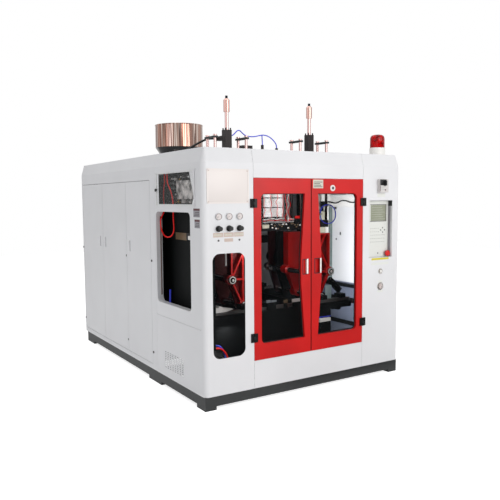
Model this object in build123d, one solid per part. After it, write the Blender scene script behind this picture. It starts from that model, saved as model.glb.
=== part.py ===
from build123d import *
import math
import os

# Blow moulding machine with one extrusion head between two clamp stations.
# Millimetres. Places are given from the left side, from the front face and from the floor;
# the helpers shift them so that the origin is the centre of the footprint, on the floor.

os.makedirs("parts", exist_ok=True)

# Overall cladding
width = 2195
depth = 3165
height = 2150
clad_bottom = 116
hood_fold = height - 119
hood_inset = 32
corner_radius = 45
sheet = 2.5
return_flange = 20
bottom_flange = 30
seam = 2

# Base and feet
foot_height = 30
foot_width = 105
base_inset = 5
base_right_inset = 19
base_rear_inset = 90
beam_width = 100
anchor_radius = 11
anchor_from_side = 62
anchor_from_end = 112
middle_beam_front = 950
rear_beam_reach = 675
tank_front = 1560
tank_length = 940
tank_left = 250
tank_width = 750
tank_top = 620
pump_radius = 115
pump_length = 420

# Inner frame
post_size = 90
post_inset = 60
post_front = 75
post_middle = 1400
top_beam_height = 87
door_post = 34
extruder_beam_size = 80

# Front face
left_panel_width = 480
column_width = 486
door_bottom = 357
door_top = height - 241
door_gap = 2
meeting_gap = 4
door_thickness = 28
door_sheet = 3
door_flange = 40
stile_width = 75
stile_grip_width = 113
window_top_margin = 131
window_bottom_margin = 137
window_waist_top = 1207
window_waist_bottom = 985
inner_stile_width = 72
window_radius = 42
pane_thickness = 4
pane_overlap = 14
cup_width = 64
cup_height = 136
cup_depth = 21
cup_level = 1129
cup_from_gap = 35

# Door hinges
hinge_height = 75
hinge_leaf = 32
hinge_leaf_thickness = 10
hinge_pin_radius = 4
hinge_knuckle_radius = 9
hinge_axis_out = 9.5
hinge_upper_level = door_top - 212
hinge_lower_level = door_bottom + 198
hinge_clearance = 0.3
pin_clearance = 0.05

# Window in the front left panel
front_window_left = 84
front_window_right = 393
front_window_bottom = 422
front_window_radius = 65

# Gauges and regulators
gauge_spacing = 99
gauge_first = 142
gauge_level = height - 557
gauge_radius = 28
gauge_depth = 14
gauge_stub_radius = 8
knob_level = gauge_level - 98
knob_collar_radius = 25
knob_grip_radius = 18
knob_length = 46
knob_shaft_radius = 6
front_window_top = knob_level - 203

# Service bay in the left side
bay_end = 935
upper_opening_front = 184
upper_opening_rear = 842
upper_opening_bottom = height - 457
upper_opening_top = height - 190
lower_opening_front = 222
lower_opening_rear = 911
lower_opening_bottom = 795
lower_opening_top = height - 525
opening_radius = 45
jamb_depth = 60
vent_top = 670
louvre_columns = 8
louvre_rows = 10
louvre_length = 30
louvre_height = 5
louvre_front = 391
louvre_pitch = 50
louvre_bottom = 200
louvre_row_pitch = 16

# Hinged cover over the upper opening
cover_front = upper_opening_front - 53
cover_rear = upper_opening_rear + 48
cover_bottom = upper_opening_bottom - 11
cover_top = upper_opening_top + 8
cover_thickness = 4
cover_barrel_radius = 5
cover_pin_radius = 2.5
cover_knob_radius = 14

# Side doors
side_opening_front = bay_end + 112
side_opening_rear = depth - 62
side_opening_bottom = 164
side_opening_top = height - 235
first_door_reach = 621
second_door_reach = 1341
side_door_edges = [side_opening_front + first_door_reach, side_opening_front + second_door_reach]
side_door_gap = 4
side_door_depth = 25
pivot_inset = 6
pivot_radius = 4
pull_width = 26
pull_height = 110
pull_depth = 16
pull_level = 1266
hood_seam_level = height - 192

# Control column
recess_left = width - 403
recess_right = width - 102
recess_bottom = height - 992
recess_top = height - 440
recess_depth = 60
panel_plate = 6
screen_left = recess_left + 64
screen_right = screen_left + 200
screen_bottom = recess_top - 198
screen_top = screen_bottom + 154
key_size = 15
key_pitch = 25
key_columns = 8
key_rows = 5
stop_x = recess_right - 33
stop_level = recess_bottom + 34
stop_radius = 29
stop_stem_radius = 8
button_x = recess_left + 148
start_level = recess_bottom - 133
start_radius = 26
selector_level = start_level - 147
selector_radius = 38
switch_box_left = recess_left + 101
switch_box_width = 104
switch_box_bottom = recess_top + 75
switch_box_top = switch_box_bottom + 127
switch_box_depth = 42
switch_knob_radius = 26
switch_knob_length = 26

# Beacon
beacon_x = width - 196
beacon_y = 118
beacon_base_radius = 76
beacon_base_height = 70
dome_radius = 70
dome_height = 127
dome_wall = 3

# Hopper and extruder
extruder_x = width / 2
hopper_radius = 294
hopper_wall = 3
hopper_shoulder = height + 221
hopper_top = hopper_shoulder + 271
hopper_rim = 6
throat_radius = 90
throat_level = height - 82
barrel_level = height - 220
extruder_beam_level = barrel_level - 610
barrel_radius = 75
barrel_front = 740
gearbox_length = 270
barrel_rear = depth - base_rear_inset - 15 - gearbox_length
hopper_y = barrel_rear - 131
band_thickness = 14
band_width = 140
band_pitch = 175
band_first = 880
band_count = int((hopper_y - 212 - band_first) / band_pitch)

# Die heads
head_y = barrel_front - 90
head_spacing = 140
head_radius = 42
head_block_bottom = barrel_level - 80
head_bottom = head_block_bottom - 310
head_band_thickness = 22
head_band_height = 84
head_band_pitch = 94
head_band_count = 3

# Clamp stations
station_offset = 451
station_y = 664
daylight = 276
platen_thickness = 25
rib_depth = 60
rib_width = 16
platen_half_width = 127
platen_top = 1388
upper_boss_offset = 125
upper_boss_level = 1000
lower_boss_level = 756
boss_radius = 45
tie_radius = 30
tie_nut_radius = 40
tie_nut_length = 23
guide_plate_front = 1000
guide_plate_thickness = 35
yoke_front = guide_plate_front + 150
yoke_thickness = 35
ram_level = 1100
ram_radius = 30
ram_body_radius = 68
ram_body_end = guide_plate_front + 300
mould_hole_radius = 7
mould_hole_width = 180
mould_hole_height = 240
mould_hole_level = 1190

# Beams and rails under the stations
clamp_beam_top = 730
clamp_beam_width = 80
front_beam_low_top = 430
front_beam_high_end = 1500
front_beam_bar_end = 1760
front_beam_bar_height = 60
front_beam_y = 215
rear_beam_y = 1300
rail_width = 30
rail_height = 30
carriage_half_width = 150
carriage_side = 40
carriage_bottom = 630
carriage_top = 695
bearing_length = 70
bearing_height = 40

# Blow units on the roof
unit_offset = 482
unit_y = 659
unit_body = 68
unit_top = height + 222
unit_plate = 15
unit_plate_half = 205
unit_plate_front = unit_y - 189
unit_plate_rear = unit_y + 191
rod_radius = 18
post_radius = 13.5
post_reach_x = 166
post_reach_y = 72
post_top = height + 162
crossbar_bottom = height + 138
crossbar_height = 18
crosshead_bottom = platen_top + 52
crosshead_top = crosshead_bottom + 72
crosshead_half = 192
crosshead_half_depth = 91
pin_radius = 14
pin_length = 110
adjuster_bottom = post_top + 225
adjuster_top = adjuster_bottom + 122
adjuster_radius = 29
adjuster_tip_radius = 12
fit_gap = 0.05
port_reach = 113
valve_from_middle = 273.5
valve_width = 114
valve_front = 720
valve_depth = 80
valve_height = 96
branch_offset = 86.5
branch_rise = 100
elbow_offset = 80.5
elbow_rise = 75

# Hoses and tubes
roof_hose_diameter = 20
air_tube_diameter = 10
red_loop_diameter = 12
blue_loop_diameter = 11
low_hose_diameter = 15
loop_level = height - 185
blue_loop_x = width - 674
union_level = height - 580


def at(x, y, z):
    return Pos(x - width / 2, y - depth / 2, z)


def block(x0, x1, y0, y1, z0, z1):
    size = Box(x1 - x0, y1 - y0, z1 - z0)
    return at((x0 + x1) / 2, (y0 + y1) / 2, (z0 + z1) / 2) * size


def rod_x(x0, x1, y, z, radius):
    return at((x0 + x1) / 2, y, z) * Rot(0, 90, 0) * Cylinder(radius, x1 - x0)


def rod_y(x, y0, y1, z, radius):
    return at(x, (y0 + y1) / 2, z) * Rot(90, 0, 0) * Cylinder(radius, y1 - y0)


def rod_z(x, y, z0, z1, radius):
    return at(x, y, (z0 + z1) / 2) * Cylinder(radius, z1 - z0)


def prism_y(sketch, x, z, y0, y1):
    return at(x, y1, z) * extrude(Plane.XZ * sketch, y1 - y0, dir=(0, -1, 0))


def prism_x(sketch, y, z, x0, x1):
    return at(x0, y, z) * extrude(Plane.YZ * sketch, x1 - x0, dir=(1, 0, 0))


def strip(start, end, breadth):
    run = Vector(end[0] - start[0], end[1] - start[1])
    middle = ((start[0] + end[0]) / 2, (start[1] + end[1]) / 2)
    turn = math.degrees(math.atan2(run.Y, run.X))
    return Pos(*middle) * Rot(0, 0, turn) * Rectangle(run.length, breadth)


def save(node, *pieces):
    solids = [solid for piece in pieces for solid in piece.solids()]
    shape = solids[0] if len(solids) == 1 else Compound(solids)
    export_step(shape, f"parts/{node}.step")


def fuse(pieces):
    whole = pieces[0]
    for piece in pieces[1:]:
        whole = whole + piece
    return whole


# Cladding: one folded skin, cut into panels along its seams

def hood_form(inset, bottom):
    across = width - 2 * inset
    along = depth - 2 * inset
    lean = math.degrees(math.atan(hood_inset / (height - hood_fold)))
    outline = RectangleRounded(across, along, corner_radius - inset)
    wall = extrude(Pos(0, 0, bottom) * outline, hood_fold - bottom)
    hood = extrude(Pos(0, 0, hood_fold) * outline, height - inset - hood_fold, taper=lean)
    return wall + hood


def make_skin():
    hollow = hood_form(sheet, clad_bottom + sheet)
    floor_hole = block(
        bottom_flange, width - bottom_flange, bottom_flange, depth - bottom_flange,
        clad_bottom - 1, clad_bottom + sheet + 1,
    )
    return hood_form(0, clad_bottom) - hollow - floor_hole


skin = make_skin()
wall_reach = hood_inset + return_flange
door_left = left_panel_width
door_right = width - column_width
door_middle = (door_left + door_right) / 2


def window_sketch(left, right, bottom, top, radius):
    return RectangleRounded(right - left, top - bottom, radius)


def front_left_panel():
    panel = skin & block(-5, door_left - seam / 2, -5, wall_reach, 0, height + 1)
    jamb = block(door_left - 1 - sheet, door_left - 1, 1, door_flange, door_bottom, door_top)
    sketch = window_sketch(
        front_window_left, front_window_right, front_window_bottom, front_window_top,
        front_window_radius,
    )
    middle_x = (front_window_left + front_window_right) / 2
    middle_z = (front_window_bottom + front_window_top) / 2
    panel = panel + jamb - prism_y(sketch, middle_x, middle_z, -10, 20)
    for index in range(3):
        x = gauge_first + index * gauge_spacing
        panel = panel - rod_y(x, -5, 10, gauge_level, gauge_stub_radius + fit_gap)
        panel = panel - rod_y(x, -5, 10, knob_level, knob_shaft_radius + fit_gap)
    return panel


def front_left_pane():
    sketch = window_sketch(
        front_window_left - pane_overlap, front_window_right + pane_overlap,
        front_window_bottom - pane_overlap, front_window_top + pane_overlap, front_window_radius,
    )
    middle_x = (front_window_left + front_window_right) / 2
    middle_z = (front_window_bottom + front_window_top) / 2
    return prism_y(sketch, middle_x, middle_z, sheet, sheet + pane_thickness)


def front_centre_panels():
    header = skin & block(
        door_left + seam / 2, door_right - seam / 2, -5, wall_reach, door_top + door_gap, height + 1,
    )
    lip = block(
        door_left + seam, door_right - seam, 1, door_flange,
        door_top + door_gap, door_top + door_gap + sheet,
    )
    sill = skin & block(
        door_left + seam / 2, door_right - seam / 2, -5, wall_reach, 0, door_bottom - door_gap,
    )
    step = block(
        door_left + seam, door_right - seam, 1, door_flange,
        door_bottom - door_gap - sheet, door_bottom - door_gap,
    )
    return [header + lip, sill + step]


def control_column():
    column = skin & block(door_right + seam / 2, width + 5, -5, wall_reach, 0, height + 1)
    jamb = block(door_right + 1, door_right + 1 + sheet, 1, door_flange, door_bottom, door_top)
    housing = block(
        recess_left - sheet, recess_right + sheet, 0, recess_depth + sheet,
        recess_bottom - sheet, recess_top + sheet,
    )
    hollow = block(recess_left, recess_right, -5, recess_depth, recess_bottom, recess_top)
    column = column + jamb + housing - hollow
    column = column - rod_y(
        stop_x, recess_depth - 1, recess_depth + 5, stop_level, stop_stem_radius + fit_gap,
    )
    column = column - rod_y(button_x, -5, 10, start_level, start_radius * 0.5 + fit_gap)
    return column - rod_y(button_x, -5, 10, selector_level, selector_radius * 0.4 + fit_gap)


def upper_opening_sketch():
    middle_y = (upper_opening_front + upper_opening_rear) / 2
    middle_z = (upper_opening_bottom + upper_opening_top) / 2
    corners = [
        (upper_opening_rear - middle_y, upper_opening_top - middle_z),
        (upper_opening_front + 43 - middle_y, upper_opening_top - middle_z),
        (upper_opening_front - 37 - middle_y, upper_opening_bottom + 58 - middle_z),
        (upper_opening_front - middle_y, upper_opening_bottom - middle_z),
        (upper_opening_rear - middle_y, upper_opening_bottom - middle_z),
    ]
    return Polygon(*corners, align=None)


def service_panel():
    panel = skin & block(-5, wall_reach, wall_reach, bay_end - seam / 2, vent_top, height + 1)
    upper_y = (upper_opening_front + upper_opening_rear) / 2
    upper_z = (upper_opening_bottom + upper_opening_top) / 2
    panel = panel - prism_x(upper_opening_sketch(), upper_y, upper_z, -5, sheet + 5)
    lower_y = (lower_opening_front + lower_opening_rear) / 2
    lower_z = (lower_opening_bottom + lower_opening_top) / 2
    span = lower_opening_rear - lower_opening_front
    rise = lower_opening_top - lower_opening_bottom
    door_way = RectangleRounded(span, rise, opening_radius)
    frame_way = RectangleRounded(span + 2 * sheet, rise + 2 * sheet, opening_radius + sheet)
    collar = prism_x(frame_way, lower_y, lower_z, 0.5, jamb_depth)
    return panel + collar - prism_x(door_way, lower_y, lower_z, -5, jamb_depth + 5)


def vent_panel():
    panel = skin & block(-5, wall_reach, wall_reach, bay_end - seam / 2, 0, vent_top - seam)
    slots = []
    for column in range(louvre_columns):
        for row in range(louvre_rows):
            y = louvre_front + column * louvre_pitch
            z = louvre_bottom + row * louvre_row_pitch
            slots.append(block(-5, sheet + 5, y, y + louvre_length, z, z + louvre_height))
    return panel - Compound([slot.solid() for slot in slots])


def side_pivots():
    first = side_opening_front + side_door_gap + pivot_inset
    second = side_door_edges[0] + side_door_gap + pivot_inset
    third = side_opening_rear - side_door_gap - pivot_inset
    return [first, second, third]


def side_wall_frame():
    wall = skin & block(
        -5, wall_reach, bay_end + seam / 2, depth - wall_reach - seam / 2, 0, height + 1,
    )
    way = block(
        -5, sheet + 5, side_opening_front, side_opening_rear, side_opening_bottom, side_opening_top,
    )
    rim = block(
        1, 34, side_opening_front - sheet, side_opening_rear + sheet,
        side_opening_bottom - sheet, side_opening_top + sheet,
    )
    rim_way = block(
        0, 40, side_opening_front, side_opening_rear, side_opening_bottom, side_opening_top,
    )
    groove = block(
        -1, 0.8, side_opening_front + 40, side_opening_rear - 40,
        hood_seam_level, hood_seam_level + 4,
    )
    wall = wall - way + (rim - rim_way) - groove
    for y in side_pivots():
        wall = wall - rod_z(
            pivot_inset, y, side_opening_bottom - 8, side_opening_top + 8, pivot_radius + fit_gap,
        )
    return wall


def side_door(front, rear, pivot_y, pull_y):
    bottom = side_opening_bottom + side_door_gap
    top = side_opening_top - side_door_gap
    tray = block(0, side_door_depth, front, rear, bottom, top)
    tray = tray - block(
        sheet, side_door_depth + 1, front + sheet, rear - sheet, bottom + sheet, top - sheet,
    )
    half = pull_width / 2
    low = pull_level - pull_height / 2
    high = pull_level + pull_height / 2
    cup = block(
        1, pull_depth + sheet, pull_y - half - sheet, pull_y + half + sheet, low - sheet, high + sheet,
    )
    cup_hollow = block(-1, pull_depth, pull_y - half, pull_y + half, low, high)
    pivot = rod_z(pivot_inset, pivot_y, side_opening_bottom - 6, side_opening_top + 6, pivot_radius)
    return tray + pivot + cup - cup_hollow


def side_doors():
    pivots = side_pivots()
    fronts = [
        side_opening_front + side_door_gap,
        side_door_edges[0] + side_door_gap,
        side_door_edges[1] + side_door_gap,
    ]
    rears = [side_door_edges[0], side_door_edges[1], side_opening_rear - side_door_gap]
    pulls = [rears[0] - 88, rears[1] - 78, fronts[2] + 94]
    return [side_door(fronts[i], rears[i], pivots[i], pulls[i]) for i in range(3)]


def rear_and_side_panels():
    rear = skin & block(-5, width + 5, depth - wall_reach + seam / 2, depth + 5, 0, height + 1)
    side = skin & block(
        width - wall_reach, width + 5, wall_reach, depth - wall_reach - seam / 2, 0, height + 1,
    )
    for seam_y in (bay_end, side_door_edges[0] - 23, side_door_edges[1] - 18):
        side = side - block(width - 0.8, width + 1, seam_y, seam_y + 3, 150, hood_fold - 60)
    for seam_x in (width / 3, 2 * width / 3):
        rear = rear - block(seam_x, seam_x + 3, depth - 0.8, depth + 1, 150, hood_fold - 60)
    return [rear, side]


def roof_panel():
    edge = wall_reach + seam / 2
    panel = skin & block(edge, width - edge, edge, depth - edge, height - sheet, height + 1)
    shoulder = throat_radius + (hopper_radius - throat_radius) * (height - throat_level) / (
        hopper_shoulder - throat_level
    )
    panel = panel - rod_z(extruder_x, hopper_y, height - 10, height + 10, shoulder + 16)
    for unit_x in (width / 2 - unit_offset, width / 2 + unit_offset):
        panel = panel - rod_z(unit_x, unit_y, height - 10, height + 10, rod_radius + 6)
        for dx in (-post_reach_x, post_reach_x):
            for dy in (-post_reach_y, post_reach_y):
                panel = panel - rod_z(
                    unit_x + dx, unit_y + dy, height - 10, height + 10, post_radius + 4,
                )
    return panel


# Base, inner frame and the beams that carry the stations

def base_frame():
    left = base_inset
    right = width - base_right_inset
    rear = depth - base_rear_inset
    low = foot_height
    beams = [
        block(left, left + beam_width, base_inset, rear, low, clad_bottom),
        block(right - beam_width, right, base_inset, rear, low, clad_bottom),
        block(left + beam_width, right - beam_width, base_inset, base_inset + beam_width,
              low, clad_bottom),
        block(left + beam_width, right - beam_width, rear - beam_width, rear, low, clad_bottom),
    ]
    for y in (middle_beam_front, tank_front, rear - rear_beam_reach):
        beams.append(
            block(left + beam_width, right - beam_width, y, y + beam_width, low, clad_bottom)
        )
    feet = []
    for x in (left, right - foot_width):
        for y0, y1 in ((base_inset, anchor_from_end + 45), (874, 1166), (rear - 240, rear)):
            feet.append(block(x, x + foot_width, y0, y1, 0, low))
    holes = Compound([
        rod_z(x, y, -1, clad_bottom + 1, anchor_radius).solid()
        for x in (anchor_from_side, width - anchor_from_side)
        for y in (anchor_from_end, depth - anchor_from_end)
    ])
    return [piece - holes for piece in beams + feet]


def machine_frame():
    left = post_inset
    right = width - post_inset
    rear = depth - base_rear_inset - 10
    low = clad_bottom + sheet
    top = height - sheet
    beam_low = top - top_beam_height
    rows = [post_front, post_middle, rear - post_size]
    pieces = []
    for x in (left, right - post_size):
        pieces.append(block(x, x + post_size, rows[0], rear, beam_low, top))
        for y in rows:
            pieces.append(block(x, x + post_size, y, y + post_size, clad_bottom, beam_low))
    for y in rows:
        pieces.append(
            block(left + post_size, right - post_size, y, y + post_size, beam_low, top)
        )
    for y0, y1 in ((unit_plate_front, unit_plate_front + 60), (unit_plate_rear - 60, unit_plate_rear)):
        pieces.append(block(left + post_size, right - post_size, y0, y1, beam_low, top))
    shelf = extruder_beam_level - extruder_beam_size
    for y in rows[1:]:
        pieces.append(
            block(left + post_size, right - post_size, y, y + post_size,
                  shelf, extruder_beam_level)
        )
    for x in (extruder_x - 180, extruder_x + 180 - 40):
        pieces.append(
            block(x, x + 40, rows[1] + post_size, rows[2], shelf, extruder_beam_level)
        )
    saddle_y = band_first + 3 * band_pitch + band_width + 4
    saddle_end = saddle_y + band_pitch - band_width - 8
    saddle = block(
        extruder_x - 180, extruder_x + 180, saddle_y, saddle_end, extruder_beam_level, barrel_level,
    )
    pieces.append(
        saddle - rod_y(extruder_x, saddle_y - 5, saddle_end + 5, barrel_level, barrel_radius)
    )
    hanger_top = beam_low
    pieces.append(
        block(extruder_x - 50, extruder_x + 50, unit_plate_front, barrel_front - 5,
              barrel_level + barrel_radius + 5, hanger_top)
    )
    for x in (left + 25, right - 65):
        for z in (420, height - 350):
            pieces.append(block(x, x + 40, rear, depth - sheet, z, z + 40))
    bracket_level = hood_fold - 46
    for x in (door_left + 180, door_middle - 20, door_right - 220):
        shelf_bracket = block(x, x + 40, sheet, rows[0] + 24, bracket_level, bracket_level + 15)
        upright = block(x, x + 40, rows[0], rows[0] + 24, bracket_level + 15, beam_low)
        pieces.append(shelf_bracket + upright)
    post_right = door_left - 12
    pieces.append(
        block(post_right - door_post, post_right, 45, 45 + door_post, clad_bottom + sheet, beam_low)
    )
    pieces.append(
        block(door_right + 12, door_right + 12 + door_post, 45, 45 + door_post,
              clad_bottom + sheet, beam_low)
    )
    return pieces


def clamp_beams():
    partition_x = post_inset + post_size + 20
    left = post_inset
    right = width - post_inset
    front_rear = front_beam_y + clamp_beam_width
    front = block(left, right, front_beam_y, front_rear, clad_bottom, front_beam_low_top)
    front = front + block(
        left, front_beam_high_end, front_beam_y, front_rear, front_beam_low_top, clamp_beam_top,
    )
    front = front + block(
        front_beam_high_end, front_beam_bar_end, front_beam_y, front_rear,
        clamp_beam_top - front_beam_bar_height, clamp_beam_top,
    )
    rear = block(
        left, right, rear_beam_y, rear_beam_y + clamp_beam_width, clad_bottom, clamp_beam_top,
    )
    partition = block(
        partition_x, partition_x + 4, front_beam_y, rear_beam_y, clamp_beam_top, upper_opening_top,
    )
    foot = block(
        partition_x - 10, partition_x + 14, front_beam_y + clamp_beam_width, rear_beam_y,
        clamp_beam_top - 30, clamp_beam_top,
    )
    return [front, rear, partition + foot]


def clamp_rails():
    rails = []
    for y in (front_beam_y, rear_beam_y):
        middle = y + clamp_beam_width / 2
        rails.append(
            block(post_inset + 140, front_beam_bar_end,
                  middle - rail_width / 2, middle + rail_width / 2,
                  clamp_beam_top, clamp_beam_top + rail_height)
        )
    return rails


# Clamp stations: a carriage on the rails, three tie bars, ribbed platens and a ram

def boss_centres():
    return [
        (-upper_boss_offset, upper_boss_level),
        (upper_boss_offset, upper_boss_level),
        (0, lower_boss_level),
    ]


def platen_outline():
    half = platen_half_width
    low = lower_boss_level
    outline = Polygon(
        (half, platen_top), (-half, platen_top), (-half, upper_boss_level - 12),
        (-38, low - 16), (38, low - 16), (half, upper_boss_level - 12), align=None,
    )
    for centre in boss_centres():
        outline = outline + Pos(*centre) * Circle(boss_radius)
    return outline


def platen_ribs():
    half = platen_half_width - rib_width / 2
    left, right, low = boss_centres()
    crown = platen_top - rib_width / 2
    ribs = [
        strip((-half, crown), (half, crown), rib_width),
        strip((-half, upper_boss_level), (-half, platen_top), rib_width),
        strip((half, upper_boss_level), (half, platen_top), rib_width),
        strip(left, right, rib_width),
        strip(left, low, rib_width),
        strip(right, low, rib_width),
        strip(low, (0, crown), rib_width),
        strip(left, (75, crown), rib_width),
        strip(right, (-75, crown), rib_width),
    ]
    sketch = fuse(ribs)
    for centre in boss_centres():
        sketch = sketch + Pos(*centre) * Circle(boss_radius)
    return sketch & platen_outline()


def tie_holes(x, y0, y1):
    return Compound([
        rod_y(x + dx, y0, y1, z, tie_radius + fit_gap).solid() for dx, z in boss_centres()
    ])


def mould_holes(x, y0, y1):
    holes = []
    for dx in (-mould_hole_width / 2, mould_hole_width / 2):
        for dz in (-mould_hole_height / 2, mould_hole_height / 2):
            holes.append(rod_y(x + dx, y0, y1, mould_hole_level + dz, mould_hole_radius).solid())
    return Compound(holes)


def platen(x, face, outward):
    plate_back = face + outward * platen_thickness
    rib_back = plate_back + outward * rib_depth
    plate = prism_y(platen_outline(), x, 0, min(face, plate_back), max(face, plate_back))
    ribs = prism_y(
        platen_ribs(), x, 0, min(plate_back, rib_back), max(plate_back, rib_back),
    )
    body = plate + ribs - tie_holes(x, min(face, rib_back) - 5, max(face, rib_back) + 5)
    return body - mould_holes(x, min(face, plate_back) - 1, max(face, plate_back) + 1)


def front_face():
    return station_y - daylight / 2


def rear_face():
    return station_y + daylight / 2


def front_platen(x):
    yoke = prism_y(platen_outline(), x, 0, yoke_front, yoke_front + yoke_thickness)
    yoke = yoke - tie_holes(x, yoke_front - 5, yoke_front + yoke_thickness + 5)
    yoke = yoke - rod_y(x, yoke_front - 5, yoke_front + yoke_thickness + 5, ram_level,
                        ram_body_radius + 6)
    return [platen(x, front_face(), -1), yoke]


def rear_platen(x):
    body = platen(x, rear_face(), 1)
    back = rear_face() + platen_thickness
    pad = rod_y(x, back, back + rib_depth, ram_level, boss_radius)
    ram = rod_y(x, back + rib_depth, guide_plate_front + 180, ram_level, ram_radius)
    return [body + pad, ram]


def tie_bars(x):
    front = front_face() - platen_thickness - rib_depth
    rear = yoke_front + yoke_thickness
    bars = []
    for dx, z in boss_centres():
        bar = rod_y(x + dx, front, rear, z, tie_radius)
        bar = bar + rod_y(x + dx, front - tie_nut_length, front, z, tie_nut_radius)
        bar = bar + rod_y(x + dx, rear, rear + tie_nut_length, z, tie_nut_radius)
        socket = rod_y(x + dx, front - tie_nut_length - 1, front - tie_nut_length + 8, z, 22)
        bars.append(bar - socket)
    return bars


def carriage(x):
    beam_end = front_beam_y + clamp_beam_width + 5
    rear_start = rear_beam_y - 5
    rail_top = clamp_beam_top + rail_height + 0.3
    block_top = rail_top + bearing_height
    pieces = []
    for side in (-1, 1):
        inner = x + side * (carriage_half_width - carriage_side)
        outer = x + side * carriage_half_width
        low_x = min(inner, outer)
        high_x = max(inner, outer)
        pieces.append(block(low_x, high_x, beam_end, rear_start, carriage_bottom, carriage_top))
        pieces.append(block(low_x, high_x, beam_end, beam_end + 18, carriage_bottom, block_top))
        pieces.append(block(low_x, high_x, rear_start - 18, rear_start, carriage_bottom, block_top))
        reach = x + side * (carriage_half_width - bearing_length)
        block_low = min(reach, outer)
        block_high = max(reach, outer)
        rail_front = front_beam_y + clamp_beam_width / 2
        rail_rear = rear_beam_y + clamp_beam_width / 2
        pieces.append(
            block(block_low, block_high, rail_front - 26, beam_end + 18, rail_top, block_top)
        )
        pieces.append(
            block(block_low, block_high, rear_start - 18, rail_rear + 26, rail_top, block_top)
        )
    half = carriage_half_width - carriage_side
    plate_rear = guide_plate_front + guide_plate_thickness
    pieces.append(
        block(x - half, x + half, guide_plate_front, plate_rear, carriage_bottom, carriage_top)
    )
    pieces.append(block(x - half, x + half, beam_end + 40, beam_end + 90,
                        carriage_bottom, carriage_top))
    guide = prism_y(platen_outline(), x, 0, guide_plate_front, plate_rear)
    pedestal = block(x - 60, x + 60, guide_plate_front, plate_rear, carriage_bottom, 760)
    body = rod_y(x, plate_rear, ram_body_end, ram_level, ram_body_radius)
    whole = fuse(pieces) + pedestal + guide + body
    whole = whole - tie_holes(x, guide_plate_front - 5, plate_rear + 5)
    return whole - rod_y(x, guide_plate_front - 5, ram_body_end - 10, ram_level,
                         ram_radius + fit_gap)


# Blow units: fixed cylinder on the roof, moving rod, posts and crosshead

def blow_cylinder(x):
    base = height + unit_plate
    half = unit_body / 2
    plate = block(
        x - unit_plate_half, x + unit_plate_half, unit_plate_front, unit_plate_rear, height, base,
    )
    body = block(x - half, x + half, unit_y - half, unit_y + half, base, unit_top)
    for dx in (-1, 1):
        for dy in (-1, 1):
            corner_x = x + dx * (half - 9)
            corner_y = unit_y + dy * (half - 9)
            body = body + rod_z(corner_x, corner_y, unit_top, unit_top + 18, 6.5)
            plate = plate - rod_z(
                x + dx * post_reach_x, unit_y + dy * post_reach_y, height - 1, base + 1,
                post_radius + fit_gap,
            )
    bore = rod_z(x, unit_y, height - 1, unit_top + 1, rod_radius + fit_gap)
    return [plate - bore, body - bore]


def tube_fittings():
    pieces = []
    for x, top in (
        (width / 2 - branch_offset, height + branch_rise), (width / 2 + elbow_offset, height + elbow_rise),
    ):
        pieces.append(
            rod_z(x, unit_y, height, top, 9) + rod_z(x, unit_y, top - 42, top, 14)
        )
    gland = block(141, 175, 772, 808, height, height + 38)
    port_left = width / 2 - unit_offset - unit_body / 2 - 0.5
    port_front = unit_y + unit_body / 2
    port = block(
        port_left, port_left + 50, port_front, port_front + port_reach, height + 132, height + 172,
    )
    valve_left = width / 2 - valve_from_middle
    valve = block(
        valve_left, valve_left + valve_width, valve_front, valve_front + valve_depth,
        height, height + valve_height,
    )
    return pieces + [gland, port, valve]


def blow_posts(x):
    posts = []
    for dx in (-post_reach_x, post_reach_x):
        for dy in (-post_reach_y, post_reach_y):
            post = rod_z(x + dx, unit_y + dy, crosshead_top, post_top, post_radius)
            head = rod_z(x + dx, unit_y + dy, post_top, post_top + 9, post_radius + 5)
            posts.append(post + head)
    rod = rod_z(x, unit_y, crosshead_top, adjuster_bottom, rod_radius)
    housing = rod_z(x, unit_y, adjuster_bottom, adjuster_top - 14, adjuster_radius)
    cap = at(x, unit_y, adjuster_top - 7) * Cone(adjuster_radius, adjuster_radius * 0.6, 14)
    tip = rod_z(x, unit_y, adjuster_top, adjuster_top + 26, adjuster_tip_radius)
    return posts + [rod + housing + cap + tip]


def blow_head(x):
    crosshead = block(
        x - crosshead_half, x + crosshead_half,
        unit_y - crosshead_half_depth, unit_y + crosshead_half_depth,
        crosshead_bottom, crosshead_top,
    )
    crosshead = chamfer(crosshead.edges().filter_by(Axis.Z), 12)
    for dx in (-head_spacing / 2, head_spacing / 2):
        crosshead = crosshead + rod_z(
            x + dx, unit_y, crosshead_bottom - pin_length, crosshead_bottom, pin_radius,
        )
    bars = []
    for dx in (-post_reach_x, post_reach_x):
        bar = block(
            x + dx - 19, x + dx + 19, unit_y - post_reach_y - 22, unit_y + post_reach_y + 22,
            crossbar_bottom, crossbar_bottom + crossbar_height,
        )
        for dy in (-post_reach_y, post_reach_y):
            bar = bar - rod_z(
                x + dx, unit_y + dy, crossbar_bottom - 1, crossbar_bottom + crossbar_height + 1,
                post_radius + fit_gap,
            )
        bars.append(bar)
    return [crosshead] + bars


# Hopper, extruder and die heads

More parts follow.
